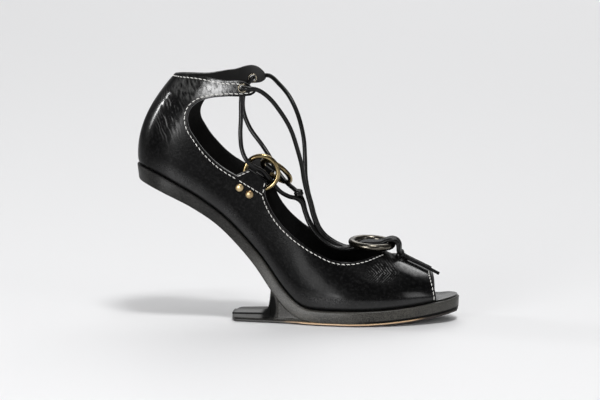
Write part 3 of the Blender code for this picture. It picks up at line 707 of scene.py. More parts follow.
class Graph:
    """The node tree of one material."""

    def __init__(self, name: str) -> None:
        """Start a material with a Principled shader.

        Args:
            name: The material's name.
        """
        self.material = bpy.data.materials.new(name)
        self.material.use_nodes = True
        self.tree = self.material.node_tree
        self.shader = self.tree.nodes["Principled BSDF"]

    def node(
        self,
        kind: str,
        settings: Optional[dict] = None,
        *values: Value,
        out: Union[int, str] = 0,
        **named: Value,
    ) -> Sock:
        """Add a node.

        Args:
            kind: The node's type.
            settings: Its own settings, set before its sockets.
            values: Values or links of its first sockets; None leaves a socket as it is.
            out: The output to hand back.
            named: Values or links of sockets by name.

        Returns:
            The output.
        """
        made = self.tree.nodes.new(kind)
        for key, value in (settings or {}).items():
            setattr(made, key, value)
        for key, value in list(enumerate(values)) + list(named.items()):
            if value is not None:
                self.feed(made.inputs[key], value)
        return Sock(self, made.outputs[out])

    def feed(self, socket: bpy.types.NodeSocket, value: Value) -> None:
        """Link or set a socket.

        Args:
            socket: The socket.
            value: A wrapped socket or a plain value.
        """
        if isinstance(value, Sock):
            self.tree.links.new(value.socket, socket)
        elif hasattr(value, "__len__") and len(value) == 3 and len(getattr(socket, "default_value", ())) == 4:
            socket.default_value = (*value, 1.0)
        else:
            socket.default_value = value

    def vector(self, operation: str, *values: Value, **named: Value) -> Sock:
        """A Vector Math node over values."""
        return self.node("ShaderNodeVectorMath", {"operation": operation}, *values, **named)

    def place_mm(self) -> Sock:
        """The place on the shoe, in millimetres."""
        return self.vector("SCALE", self.node("ShaderNodeTexCoord", out="Object"), Scale=1.0 / MM)

    def axes(self, place: Sock) -> tuple[Sock, ...]:
        """A place's three numbers."""
        split = self.node("ShaderNodeSeparateXYZ", None, place)
        return tuple(Sock(self, output) for output in split.socket.node.outputs)

    def layer(self, name: str) -> Sock:
        """The numbers of a layer that the mesh itself carries."""
        return self.node("ShaderNodeAttribute", {"attribute_name": name}, out="Fac")

    def noise(self, place: Sock, size: float, detail: float = 2.0, roughness: float = 0.5) -> Sock:
        """Cloudy noise with lumps of a size."""
        sockets = {"Vector": place, "Scale": 1.0 / size, "Detail": detail, "Roughness": roughness}
        return self.node("ShaderNodeTexNoise", None, **sockets)

    def streaks(
        self,
        place: Sock,
        sizes: Sequence[float],
        turn: Sequence[float] = (0.0, 0.0, 0.0),
        detail: float = 2.0,
        roughness: float = 0.5,
    ) -> Sock:
        """Noise that is drawn out along its axes.

        Args:
            place: The place in millimetres.
            sizes: Size of the lumps along each axis.
            turn: Turn of the axes, in degrees.
            detail: The noise's detail.
            roughness: The noise's roughness.

        Returns:
            The noise.
        """
        settings = {"vector_type": "POINT"}
        turned = self.node("ShaderNodeMapping", settings, place, Rotation=[math.radians(a) for a in turn])
        drawn = self.node("ShaderNodeMapping", settings, turned, Scale=[1.0 / size for size in sizes])
        return self.noise(drawn, 1.0, detail, roughness)

    def drifted(self, place: Sock, by: float, size: float = 9.0) -> Sock:
        """A place that slow noise pushes about by some millimetres, so that straight patterns bend."""
        noise = self.node("ShaderNodeTexNoise", None, Vector=place, Scale=1.0 / size, Detail=1.0, out="Color")
        return self.vector("MULTIPLY_ADD", noise, (by,) * 3, place)

    def cells(self, place: Sock, size: float, feature: str) -> Sock:
        """Distance to the nearest cell's middle, for pebbled grain of a size."""
        return self.node("ShaderNodeTexVoronoi", {"feature": feature}, Vector=place, Scale=1.0 / size)

    def mixed(self, share: Value, one: Value, two: Value) -> Sock:
        """A colour between two, whose sockets follow those of the plain numbers and the vectors."""
        others = (None,) * 5
        return self.node("ShaderNodeMix", {"data_type": "RGBA"}, share, *others, one, two, out=2)

    def near(self, place: Sock, area: Area) -> Sock:
        """1 in the middle of an area, fading to 0 at its edge.

        Args:
            place: The place in millimetres.
            area: The area, seen from the side.

        Returns:
            The share.
        """
        moved = self.vector("SUBTRACT", place, (area.x, 0.0, area.z))
        scaled = self.vector("MULTIPLY", moved, (1.0 / area.half_long, 0.0, 1.0 / area.half_high))
        return self.vector("LENGTH", scaled, out="Value").eased(1.0, 0.0)

    def above_tread(self, x: Sock, z: Sock) -> Sock:
        """Height above the tread, which springs up towards the toe."""
        run = (x - LAST.spring_from_x).most(0.0) / LAST.spring_run
        return z - LAST.spring_height * run**LAST.spring_power

    def bump(self, height: Sock, depth_mm: float, strength: float = 1.0) -> None:
        """Feed the shader's normal with a height of so many millimetres."""
        normal = self.node("ShaderNodeBump", None, Strength=strength, Distance=depth_mm * MM, Height=height)
        self.feed(self.shader.inputs["Normal"], normal)

    def finish(self, **sockets: Value) -> None:
        """Set the shader's sockets by name, with underscores for spaces."""
        for key, value in sockets.items():
            self.feed(self.shader.inputs[key.replace("_", " ")], value)


@dataclass(frozen=True)
class Finish:
    """A finish: the slot of the record that it belongs to and the way its nodes are laid."""

    name: str
    slot: str

    def nodes(self, graph: Graph) -> None:
        """Lay the nodes of the finish in a material's graph."""
        raise NotImplementedError

    def material(self) -> bpy.types.Material:
        """The finish's material, made once.

        Returns:
            The material.
        """
        found = bpy.data.materials.get(f"look_{self.name}")
        if found:
            return found
        graph = Graph(f"look_{self.name}")
        self.nodes(graph)
        return graph.material


@dataclass(frozen=True)
class UpperLeather(Finish):
    """Black polished leather with pebbled grain and wrinkles where the photo shows them."""

    name: str = "upper_leather"
    slot: str = "black_leather"
    grain: float = 0.95
    roughness: float = 0.3
    on_last: bool = True
    dark: Colour = (0.002, 0.002, 0.0021)
    mottle: Colour = (0.0095, 0.0095, 0.0096)
    # Painted highlight: the pale colour laid on the ridges of the counter's and the vamp's wrinkles.
    painted_ridge_highlight: Colour = (0.11, 0.11, 0.109)
    # Painted sheen: a grey reflection laid into the colour over the counter's upper part and the strap's left
    # end.
    painted_sheen: Colour = (0.055, 0.055, 0.054)
    counter_creases: Area = Area(-80.0, 134.0, 13.0, 22.0)
    counter_polish: Area = Area(-84.0, 138.0, 16.0, 24.0)
    # Where the painted sheen lies.
    counter_painted_sheen: Area = Area(-66.0, 151.5, 19.0, 12.0)
    strap_creases: Area = Area(-47.0, 153.5, 26.0, 12.0)
    strap_polish: Area = Area(-48.0, 153.5, 27.0, 11.0)
    vamp_creases: Area = Area(58.5, 34.5, 14.0, 9.0)
    # Where the painted highlight on the vamp's chevron ridges lies.
    vamp_painted_highlights: Area = Area(58.5, 34.5, 13.0, 8.0)
    window: Area = Area(-52.0, 112.0, 30.0, 30.0)

    def wrinkles(self, graph: Graph, place: Sock) -> tuple[Sock, Sock]:
        """Fine creases on the counter, the strap and the vamp.

        Args:
            graph: The material's graph.
            place: The place in millimetres.

        Returns:
            Their height, and where a painted highlight lightens their ridges.
        """
        bent = graph.drifted(place, 4.0)
        strap = graph.streaks(bent, (2.2, 8.0, 7.0), (0.0, 8.0, 0.0), 2.0, 0.6)
        strap = (1.0 - abs(strap - 0.5) * 5.0).eased(0.2, 1.0) * graph.near(place, self.strap_creases)
        x, _, z = graph.axes(bent)
        counter = ((x * 0.92 + z * 0.39) * 2.9).sine()
        broken = graph.streaks(place, (3.0, 9.0, 8.0), (0.0, 20.0, 0.0)).eased(0.42, 0.62)
        drawn = broken * graph.near(place, self.counter_creases)
        x, _, z = graph.axes(graph.drifted(place, 1.6))
        chevron = ((x + abs(z - 34.3) * 0.95) * 3.7).sine()
        vamp = chevron.eased(-0.2, 1.0) * graph.near(place, self.vamp_creases)
        flecks = graph.noise(place, 1.7).eased(0.42, 0.6)
        # Painted highlight on the vamp's chevron ridges, broken into flecks.
        painted_ridge_highlights = chevron.eased(0.0, -1.0) * graph.near(place, self.vamp_painted_highlights) * flecks
        height = counter.eased(-0.2, 1.0) * drawn * 2.2 + strap * 2.2 + vamp * 2.0
        return height, counter.eased(0.1, -1.0) * drawn + 1.3 * painted_ridge_highlights

    def nodes(self, graph: Graph) -> None:
        """Lay grain, wrinkles, a painted highlight on the wrinkles' ridges, a painted sheen on the counter and
        a polished coat.

        Args:
            graph: The material's graph.
        """
        place = graph.place_mm()
        pebble = graph.cells(graph.drifted(place, 0.8), self.grain, "SMOOTH_F1")
        fine = graph.noise(place, 0.35, 3.0, 0.6)
        broad = graph.noise(place, 14.0)
        worn = graph.noise(place, 3.2, 4.0, 0.65)
        wrinkle, painted_ridge_highlight = self.wrinkles(graph, place)
        gloss = self.gloss(graph, place)
        height = pebble * (0.28 + 0.3 * broad) + fine * 0.16 - wrinkle * 0.75 + worn * 0.35
        graph.bump(height * (1.0 - 0.8 * gloss), 0.22, 0.8)
        mottle = graph.noise(place, 1.9, 3.0, 0.65).eased(0.42, 0.78)
        # Painted highlight: the wrinkles' ridges are lightened where light would catch them.
        colour = graph.mixed(painted_ridge_highlight, graph.mixed(mottle, self.dark, self.mottle), self.painted_ridge_highlight)
        streak = graph.streaks(place, (1.7, 6.0, 4.5), (0.0, 14.0, 0.0), 3.0, 0.6).eased(0.34, 0.68)
        # Painted sheen, drawn out into streaks, over the counter's upper part.
        painted_sheen = graph.near(place, self.counter_painted_sheen).eased(0.0, 0.6) * streak
        coat = 0.1
        if self.on_last:
            coat = self.polish(graph, place) + 0.8 * gloss + self.edge(graph, place)
        graph.finish(
            Base_Color=graph.mixed(painted_sheen, colour, self.painted_sheen),
            Roughness=self.roughness + 0.16 * (worn - 0.5) + 0.1 * (broad - 0.5) + 0.05 * pebble,
            Specular_IOR_Level=0.035,
            Coat_Weight=coat,
            Coat_Roughness=0.15,
        )

    def edge(self, graph: Graph, place: Sock) -> Sock:
        """The polish of the cut edge round the side window, from the sheet's own rim layer."""
        return graph.layer("rim").eased(0.55, 0.95) * graph.near(place, self.window).eased(0.0, 0.4)

    @staticmethod
    def gloss(graph: Graph, place: Sock) -> Sock:
        """The smooth, glossy strip of leather that is pulled tight above the sole.

        Args:
            graph: The material's graph.
            place: The place in millimetres.

        Returns:
            The strip's share.
        """
        lift = graph.layer("lift")
        x, _, _ = graph.axes(place)
        return lift.eased(1.4, 2.8) * lift.eased(13.0, 3.0) * x.eased(-98.0, -78.0)

    def polish(self, graph: Graph, place: Sock) -> Sock:
        """How far the leather is polished: most on the strap, the vamp's ridge and the counter.

        Args:
            graph: The material's graph.
            place: The place in millimetres.

        Returns:
            The coat's weight.
        """
        strap = graph.near(place, self.strap_polish)
        counter = graph.near(place, self.counter_polish)
        x, _, z = graph.axes(place)
        over = z - 40.6 + (x - 67.0) * 0.47
        ridge = over.eased(-6.5, -2.0) * x.eased(62.0, 70.0) * x.eased(89.0, 82.0)
        speck = graph.streaks(place, (1.5, 5.0, 2.6), (0.0, 8.0, 0.0)).eased(0.36, 0.6)
        return 0.04 + 1.2 * strap * (0.3 + 0.7 * speck) + 1.1 * ridge * (0.7 + 0.3 * speck) + 0.75 * counter


@dataclass(frozen=True)
class LiningLeather(Finish):
    """Smooth black lining leather."""

    name: str = "lining"
    slot: str = "lining_leather"
    roughness: float = 0.42
    coat: float = 0.0

    def nodes(self, graph: Graph) -> None:
        """Lay a fine grain over near black.

        Args:
            graph: The material's graph.
        """
        place = graph.place_mm()
        broad = graph.noise(place, 9.0)
        graph.bump(graph.noise(place, 0.5, 3.0, 0.6) + 0.6 * graph.cells(place, 1.1, "SMOOTH_F1"), 0.08, 0.7)
        graph.finish(
            Base_Color=graph.mixed(broad, (0.004, 0.0038, 0.0037), (0.008, 0.0077, 0.0074)),
            Roughness=self.roughness + 0.14 * (broad - 0.5),
            Specular_IOR_Level=0.2,
            Coat_Weight=self.coat,
            Coat_Roughness=0.2,
        )


@dataclass(frozen=True)
class SoleWrap(Finish):
    """Grained dark grey leather round the platform, with a metallic cast."""

    name: str = "sole_wrap"
    slot: str = "sole_wrap"
    roughness: float = 0.4
    dull_roughness: float = 0.9
    front: tuple[Colour, Colour] = ((0.009, 0.0087, 0.0077), (0.064, 0.0605, 0.0525))
    rear: tuple[Colour, Colour] = ((0.005, 0.0049, 0.0046), (0.026, 0.0255, 0.024))
    # Painted light: a lighter colour towards the toe, which faces the lamps at the front.
    toe: Colour = (0.105, 0.103, 0.096)
    edge: Colour = (0.004, 0.004, 0.004)
    # Painted shade: the near black that hollow() lays into the spur's recesses.
    dull: Colour = (0.003, 0.003, 0.003)
    tail: Area = Area(-31.0, 3.9, 13.0, 1.4)
    fillet: Area = Area(-17.5, 6.2, 8.0, 6.0)
    slit: Area = Area(-13.8, 9.5, 4.4, 11.0)

    def nodes(self, graph: Graph) -> None:
        """Lay a close grain with speckled grey, a toe lightened as painted light, and painted shade in the
        spur's recesses.

        Args:
            graph: The material's graph.
        """
        place = graph.place_mm()
        x, _, z = graph.axes(place)
        speck = graph.noise(place, 0.55, 3.0, 0.7)
        graph.bump(graph.cells(place, 0.8, "F1") * 0.8 + speck * 0.9, 0.2, 0.9)
        shade = (speck * 0.8 + graph.noise(place, 12.0) * 0.2).eased(0.4, 0.62)
        fore = x.eased(-60.0, 15.0).most(z.eased(8.0, 5.0) * 0.45)
        # Painted light: the band's colour lightens towards the toe.
        front = graph.mixed(x.eased(74.0, 100.0) * 0.3, graph.mixed(shade, *self.front), self.toe)
        colour = graph.mixed(fore, graph.mixed(shade, *self.rear), front)
        line = graph.above_tread(x, z).eased(3.6, 2.8) * x.eased(36.0, 56.0)
        # worn is the share outside the painted shade of hollow(); inside it the colour is painted shade, with
        # no coat.
        worn = 1.0 - self.hollow(graph, place)
        tail = graph.near(place, self.tail).eased(0.0, 0.4) * z.eased(3.5, 3.75)
        graph.finish(
            Base_Color=graph.mixed(worn, self.dull, graph.mixed(line, colour, self.edge)),
            Roughness=self.dull_roughness + worn * (self.roughness - self.dull_roughness + 0.2 * (speck - 0.5)),
            Specular_IOR_Level=0.06,
            Coat_Weight=worn * (0.16 + 0.3 * fore + 0.5 * tail) * (1.0 - line),
            Coat_Roughness=0.36,
        )

    def hollow(self, graph: Graph, place: Sock) -> Sock:
        """Painted shade: dull black laid into the spur's fillet, the slit beside it and its tail's two long
        margins.

        Args:
            graph: The material's graph.
            place: The place in millimetres.

        Returns:
            1 where the shade is painted, 0 elsewhere.
        """
        x, y, z = graph.axes(place)
        margin = abs(y + 1.2).eased(6.0, 9.0) * x.eased(-10.0, -18.0) * z.eased(3.45, 3.55) * z.eased(4.4, 4.1)
        most = graph.near(place, self.fillet).most(graph.near(place, self.slit))
        return margin.most(most.eased(0.0, 0.5)) * 0.97


@dataclass(frozen=True)
class TreadLeather(Finish):
    """Tan outsole leather, greyer at the spur."""

    name: str = "tread"
    slot: str = "tread_leather"
    tan: tuple[Colour, Colour] = ((0.53, 0.33, 0.17), (0.82, 0.6, 0.39))
    grey: tuple[Colour, Colour] = ((0.008, 0.0078, 0.0072), (0.03, 0.029, 0.027))
    # Stained dark brown for the outsole's lower edge, made darker still as painted shade for the dark contact
    # line under the sole.
    under: Colour = (0.02, 0.009, 0.006)
    toe: Colour = (0.02, 0.014, 0.011)

    def nodes(self, graph: Graph) -> None:
        """Lay layered fibres, tan in front and grey behind, with a dark lower edge that is partly stain and
        partly painted shade.

        Args:
            graph: The material's graph.
        """
        place = graph.place_mm()
        x, _, z = graph.axes(place)
        fibre = graph.streaks(place, (9.0, 9.0, 0.35), detail=3.0)
        blot = graph.noise(place, 6.0, 3.0)
        # The lower edge is partly stain and partly painted shade.
        layer = (graph.above_tread(x, z) + (blot - 0.5) * 0.3).eased(0.6, 0.95)
        tan = graph.mixed(layer, self.under, graph.mixed(fibre, *self.tan))
        tan = graph.mixed(x.eased(76.0, 87.0), tan, self.toe)
        fore = (x + (blot - 0.5) * 18.0).eased(-12.0, 10.0)
        graph.bump(fibre + 0.5 * blot, 0.08, 0.6)
        graph.finish(
            Base_Color=graph.mixed(fore, graph.mixed(fibre, *self.grey), tan),
            Roughness=0.5 + 0.2 * (blot - 0.5),
        )


@dataclass(frozen=True)
class Metal(Finish):
    """Worn metal with a patchy patina."""

    name: str = "brass"
    slot: str = "brass"
    bright: Colour = (0.36, 0.28, 0.14)
    dull: Colour = (0.13, 0.092, 0.045)
    roughness: float = 0.16

    def nodes(self, graph: Graph) -> None:
        """Lay patina, scratches and a soft polish.

        Args:
            graph: The material's graph.
        """
        place = graph.place_mm()
        patina = graph.noise(place, 6.5, 3.0)
        scratch = graph.streaks(place, (0.25, 3.0, 3.0), (20.0, 35.0, 0.0))
        graph.bump(scratch * 0.5 + patina, 0.008, 0.3)
        graph.finish(
            Base_Color=graph.mixed(patina.eased(0.26, 0.74), self.bright, self.dull),
            Roughness=self.roughness + 0.16 * (patina - 0.4) + 0.05 * scratch,
            Metallic=1.0,
        )


@dataclass(frozen=True)
class Thread(Finish):
    """Off-white waxed thread."""

    name: str = "thread"
    slot: str = "black_leather"

    def nodes(self, graph: Graph) -> None:
        """Lay twisted strands and a little soiling.

        Args:
            graph: The material's graph.
        """
        strand = graph.noise(graph.place_mm(), 0.3)
        colour = graph.mixed(strand.eased(0.3, 0.7), (0.46, 0.455, 0.43), (0.76, 0.75, 0.72))
        graph.bump(strand, 0.05, 0.6)
        graph.finish(Base_Color=colour, Roughness=0.55 + 0.1 * strand)


@dataclass(frozen=True)
class CordLeather(Finish):
    """Black round leather cord."""

    name: str = "cord"
    slot: str = "lace_leather"

    def nodes(self, graph: Graph) -> None:
        """Lay a dry grain and a soft gloss.

        Args:
            graph: The material's graph.
        """
        place = graph.place_mm()
        grain = graph.noise(place, 0.5, 3.0, 0.6)
        broad = graph.noise(place, 4.0)
        graph.bump(grain + 0.7 * broad, 0.12, 0.7)
        graph.finish(
            Base_Color=graph.mixed(broad, (0.003, 0.003, 0.0031), (0.007, 0.007, 0.0069)),
            Roughness=0.3 + 0.15 * (grain - 0.5),
            Specular_IOR_Level=0.12,
            Coat_Weight=0.22,
            Coat_Roughness=0.18,
        )


@dataclass(frozen=True)
class FloorPaint(Finish):
    """The pale studio floor."""

    name: str = "floor"
    slot: str = ""

    def nodes(self, graph: Graph) -> None:
        """Lay a plain pale surface with a faint gloss."""
        graph.finish(Base_Color=(0.8, 0.8, 0.808), Roughness=0.5, Specular_IOR_Level=0.25)


UPPER_LEATHER = UpperLeather()
LOOP_LEATHER = UpperLeather("loop_leather", on_last=False)
LINING = LiningLeather()
INSOLE = LiningLeather("insole", roughness=0.3, coat=1.0)
SOLE_WRAP = SoleWrap()
TREAD = TreadLeather()
BRASS = Metal()
PEWTER = Metal("pewter", "pewter", (0.15, 0.139, 0.117), (0.08, 0.072, 0.058), 0.2)
RIVET_BRASS = Metal("rivet_brass", "brass", (0.62, 0.49, 0.28), (0.22, 0.13, 0.06), 0.36)
EYELET_METAL = Metal("eyelet_metal", "eyelet_metal", (0.42, 0.38, 0.3), (0.12, 0.1, 0.07), 0.22)
THREAD = Thread()
CORD = CordLeather()


def linked(name: str, data: bpy.types.ID) -> bpy.types.Object:
    """Add an object to the scene.

    Args:
        name: The object's name.
        data: Its mesh, curve, camera or light.

    Returns:
        The object.
    """
    made = bpy.data.objects.new(name, data)
    bpy.context.scene.collection.objects.link(made)
    return made


def add_piece(
    name: str,
    data: Union[bpy.types.Mesh, bpy.types.Curve],
    finish: Finish,
    *nodes: str,
) -> bpy.types.Object:
    """Add a finished piece to the shoe.

    Args:
        name: The piece's name.
        data: Its mesh or curve, in metres.
        finish: Its finish.
        nodes: The CAD nodes that it stands for.

    Returns:
        The object.
    """
    made = linked(name, data)
    data.materials.append(finish.material())
    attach(made, "root")
    if nodes:
        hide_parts(*nodes)
    LOG.info("piece %s stands for %s", name, ", ".join(nodes) or "nothing")
    return made


def mesh_from(bm: bmesh.types.BMesh, name: str, sharp: float) -> bpy.types.Mesh:
    """Turn a bmesh in millimetres into a mesh in metres.

    Args:
        bm: The bmesh, which is freed.
        name: The mesh's name.
        sharp: The angle, in degrees, past which an edge stays sharp.

    Returns:
        The mesh.
    """
    bmesh.ops.scale(bm, vec=(MM, MM, MM), verts=bm.verts)
    mesh = bpy.data.meshes.new(name)
    bm.to_mesh(mesh)
    bm.free()
    mesh.shade_smooth()
    mesh.set_sharp_from_angle(angle=math.radians(sharp))
    return mesh


def add_solid(bm: bmesh.types.BMesh, name: str, sharp: float, finish: Finish, *nodes: str) -> None:
    """Point a closed bmesh's faces outwards and add it to the shoe."""
    bmesh.ops.recalc_face_normals(bm, faces=bm.faces)
    add_piece(name, mesh_from(bm, name, sharp), finish, *nodes)


def skinned(bm: bmesh.types.BMesh, loops: Sequence[Loop]) -> list[list[bmesh.types.BMEdge]]:
    """Skin loops of equal point counts.

    Args:
        bm: The bmesh to add to.
        loops: The loops' points.

    Returns:
        The edges of each loop.
    """
    rings = []
    for loop in loops:
        verts = [bm.verts.new(point) for point in loop]
        rings.append([bm.edges.new(pair) for pair in zip(verts, verts[1:] + verts[:1])])
    for one, two in zip(rings, rings[1:]):
        bmesh.ops.bridge_loops(bm, edges=one + two)
    return rings


def loft(loops: Sequence[Loop]) -> bmesh.types.BMesh:
    """Skin loops of equal point counts, with a cap at each end.

    Args:
        loops: The loops' points.

    Returns:
        The closed skin.
    """
    bm = bmesh.new()
    rings = skinned(bm, loops)
    for ring in (rings[0], rings[-1]):
        bmesh.ops.contextual_create(bm, geom=ring)
    return bm


def standing(point: Vector, axis: Vector) -> Matrix:
    """A matrix that stands a Z-axis shape at a point along an axis."""
    turn = Vector((0.0, 0.0, 1.0)).rotation_difference(axis)
    return Matrix.Translation(point) @ turn.to_matrix().to_4x4()


def turned(
    profile: Sequence[Pair],
    steps: int,
    closed: bool,
    matrix: Matrix,
) -> bmesh.types.BMesh:
    """Spin a profile of (radius, height) about Z and stand it in its place.

    Args:
        profile: The profile's points.
        steps: Steps of a full turn.
        closed: Whether the profile is a closed outline.
        matrix: The place and lean of the turned shape.

    Returns:
        The turned shape.
    """
    bm = bmesh.new()
    verts = [bm.verts.new((radius, 0.0, height)) for radius, height in profile]
    ends = zip(verts, verts[1:] + verts[:1]) if closed else zip(verts, verts[1:])
    edges = [bm.edges.new(pair) for pair in ends]
    bmesh.ops.spin(
        bm,
        geom=verts + edges,
        axis=(0, 0, 1),
        cent=(0, 0, 0),
        steps=steps,
        angle=2.0 * math.pi,
        use_merge=True,
    )
    bmesh.ops.remove_doubles(bm, verts=bm.verts, dist=WELD)
    bmesh.ops.transform(bm, matrix=matrix, verts=bm.verts)
    return bm


@dataclass
class Upper:
    """The hollow leather upper, trimmed at its topline, with creases and stitching."""

    across: int = 16
    up: int = 72
    edge_steps: int = 12
    throat_near: Place = (9.4, 0.93)
    below_top: float = 0.9985
    flat_scale: Pair = (15.0, 50.0)
    flat_clear: float = 0.42
    weld: float = 0.03
    sharp: float = 60.0
    rim_round: float = 0.42
    rim_angle: float = 55.0
    hole_radius: float = 2.25
    hole_sides: int = 24
    tuck: float = 1.0
    tuck_reach: float = 0.9
    tie_at: Point = (67.0, 0.4, 41.0)
    pucker_height: float = 1.1
    pucker_radius: float = 3.4
    pucker_depth: float = 0.6
    pucker_width: float = 2.0
    stitch_pitch: float = 3.2
    stitch_size: Point = (2.75, 0.62, 0.68)
    stitch_segments: tuple[int, int] = (8, 6)
    stitch_slant: float = 0.12
    stitch_proud: float = 0.12
    stitch_inset: float = 1.8
    strap_inset: float = 1.9
    tab_inset: float = 1.1
    peep_inset: float = 1.6
    corner_reach: float = 2.2
    tab_base: tuple[Pair, Pair] = ((-35.0, 93.8), (-19.4, 84.4))
    base_steps: int = 23
    strap_steps: int = 60
    strap_short: float = 0.25
    peep_steps: int = 40
    creases: tuple[Crease, ...] = (
        Crease(-88.0, 147.0, -79.5, 121.0, 0.9, 0.16),
        Crease(-84.5, 148.0, -76.0, 122.5, 0.9, 0.18),
        Crease(-81.0, 149.0, -73.5, 126.0, 0.9, 0.15),
        Crease(-86.0, 134.0, -80.5, 116.0, 0.9, 0.12),
        Crease(-77.5, 148.0, -72.5, 132.0, 0.9, 0.12),
        Crease(-83.5, 150.0, -75.0, 145.5, 1.1, -0.2),
        Crease(-56.0, 157.5, -57.0, 150.0, 0.9, 0.06),
        Crease(-51.5, 157.5, -52.0, 149.5, 0.9, 0.07),
        Crease(-46.5, 157.0, -46.5, 150.0, 0.9, 0.06),
        Crease(52.0, 39.5, 57.5, 33.5, 0.9, 0.14),
        Crease(57.5, 33.5, 52.5, 28.5, 0.9, 0.1),
        Crease(56.5, 40.0, 62.0, 33.5, 0.9, 0.16),
        Crease(62.0, 33.5, 56.5, 28.0, 0.9, 0.12),
        Crease(61.0, 39.5, 66.0, 33.5, 0.9, 0.14),
        Crease(66.0, 33.5, 61.5, 29.0, 0.9, 0.1),
    )
    throat_up: tuple[tuple[int, float], ...] = (
        (2, 1.2), (3, 2.4), (4, 2.5), (5, 2.2), (6, 1.9), (7, 1.6), (8, 0.8),
    )
    window_ahead: tuple[tuple[int, float], ...] = ((18, 1.2), (19, 3.6), (20, 5.6), (21, 4.0))
    edges: dict[Side, list[list[Place]]] = field(default_factory=dict)

    def build(self) -> None:
        """Make the leather and its stitches."""
        cuts = list(TOPLINE)
        for row, up in self.throat_up:
            cuts[row] = cuts[row]._replace(z=cuts[row].z + up)
        self.edges[Side.LATERAL] = self.cut_places(Side.LATERAL, LAST.topline(cuts, self.edge_steps))
        for row, ahead in self.window_ahead:
            cuts[row] = cuts[row]._replace(x=cuts[row].x + ahead)
        self.edges[Side.MEDIAL] = self.cut_places(Side.MEDIAL, LAST.topline(cuts, self.edge_steps))
        self.leather()
        self.stitching()

    def cut_places(self, side: Side, rows: list[list[Vector]]) -> list[list[Place]]:
        """The topline's places on one wall, from the vamp's ridge to the strap's tip.

        Args:
            side: The side of the foot.
            rows: The cut seen from the side, by row of its table.

        Returns:
            For each row of the table from the throat's front to the tip's top, its places on the wall.
        """
        found = []
        start = self.throat_near
        for row in rows[THROAT_FRONT + 1 : TIP_TOP]:
            found.append(LAST.trail(side, row, start))
            start = found[-1][-1]
        found[-2:] = [[place for place in row if place[1] < self.below_top] for row in found[-2:]]
        last = (found[-1] or found[-2])[-1]
        return [self.ridge_crossing(side, rows[THROAT_FRONT]), *found, [(last[0], 1.0)]]

    def ridge_crossing(self, side: Side, points: list[Vector]) -> list[Place]:
        """The places of the throat's first stretch, from where it leaves the ridge.

        Args:
            side: The side of the foot.
            points: The stretch, seen from the side.

        Returns:
            Its places, the first one on the ridge.
        """

        def below(point: Vector) -> bool:
            """Whether a point of the cut lies below the ridge."""
            return LAST.seen(side, LAST.top_place(point.x), 1.0)[1] > point.y

        index = next(k for k, point in enumerate(points) if below(point))
        one, two = points[index - 1], points[index]
        _, share = halved(0.0, 1.0, lambda at: not below(one.lerp(two, at)), 30)
        t = LAST.top_place(one.lerp(two, share).x)
        return [(t, 1.0)] + LAST.trail(side, points[index + 1 :], (t, 0.97))

    def outline(self) -> list[Place]:
        """The whole leather's outline by rib, negative on the outer side, and by place on the rib.

        Returns:
            The outline, in one closed round.
        """
        end = LAST.rib_end
        halves = {}
        for side in Side:
            cut = [place for row in self.edges[side] for place in row]
            throat, tip = cut[0][0], cut[-1][0]
            foot = [(k / self.across, 0.0) for k in range(int(end * self.across))]
            peep = [(end, k / self.up) for k in range(self.up)]
            count = int((end - throat) * self.across)
            ridge = [(end + (throat - end) * k / count, 1.0) for k in range(count)]
            count = int(tip * self.across)
            strap = [(tip * (1.0 - k / count), 1.0) for k in range(1, count)]
            halves[side] = [(side.value * t, v) for t, v in foot + peep + ridge + cut + strap]
        back = halves[Side.LATERAL][::-1]
        return halves[Side.MEDIAL] + [(0.0, 1.0)] + back[:-1]

    def hole(self, side: Side) -> list[Place]:
        """The outline of an eyelet's hole by rib, negative on the outer side, and by place on the rib.

        Args:
            side: The side of the foot.

        Returns:
            The outline, in one closed round.
        """
        point, normal = LAST.eyelet_seat(side)
        along = Vector((0.0, 0.0, 1.0)).cross(normal).normalized()
        up = normal.cross(along)
        aims = []
        for k in range(self.hole_sides):
            angle = 2.0 * math.pi * k / self.hole_sides
            aim = point + (along * math.cos(angle) + up * math.sin(angle)) * self.hole_radius
            aims.append(LAST.slanted(aim))
        return [(side.value * t, v) for t, v in LAST.trail(side, aims, LAST.eyelet_near)]

    def flat_sheet(self) -> tuple[list[Vector], list[Sequence[int]]]:
        """The leather laid flat, its outline and holes filled with an even net of triangles.

        Returns:
            The flat points, and the triangles between them.
        """
        wide, high = self.flat_scale
        rounds = [self.outline()] + [self.hole(side) for side in Side]
        loops = [[Vector((u * wide, v * high)) for u, v in places] for places in rounds]
        outline = [point for loop in loops for point in loop]
        tree = kdtree.KDTree(len(outline))
        for index, point in enumerate(outline):
            tree.insert(point.to_3d(), index)
        tree.balance()
        inner = []
        reach = int(LAST.rib_end * self.across)
        for i in range(-reach + 1, reach):
            for j in range(1, self.up):
                point = Vector((i / self.across * wide, j / self.up * high))
                if tree.find(point.to_3d())[2] > self.flat_clear:
                    inner.append(point)
        ring, first = [], 0
        for loop in loops:
            ring += [(first + k, first + (k + 1) % len(loop)) for k in range(len(loop))]
            first += len(loop)
        flat, _, faces, *_ = geometry.delaunay_2d_cdt(outline + inner, ring, [], 0, 1e-6, False)
        return flat, self.kept(loops, flat, faces)

    @staticmethod
    def kept(
        loops: Sequence[Sequence[Vector]],
        flat: Sequence[Vector],
        faces: Sequence[Sequence[int]],
    ) -> list[Sequence[int]]:
        """The triangles whose middle lies inside the outline and outside its holes.

        Args:
            loops: The points of the outline and of each hole.
            flat: The triangles' points.
            faces: The triangles.

        Returns:
            The triangles inside.
        """
        spots = np.array(flat)[np.array([tuple(face) for face in faces])].mean(axis=1)
        start = np.concatenate([np.array(loop) for loop in loops])
        end = np.concatenate([np.roll(np.array(loop), -1, axis=0) for loop in loops])
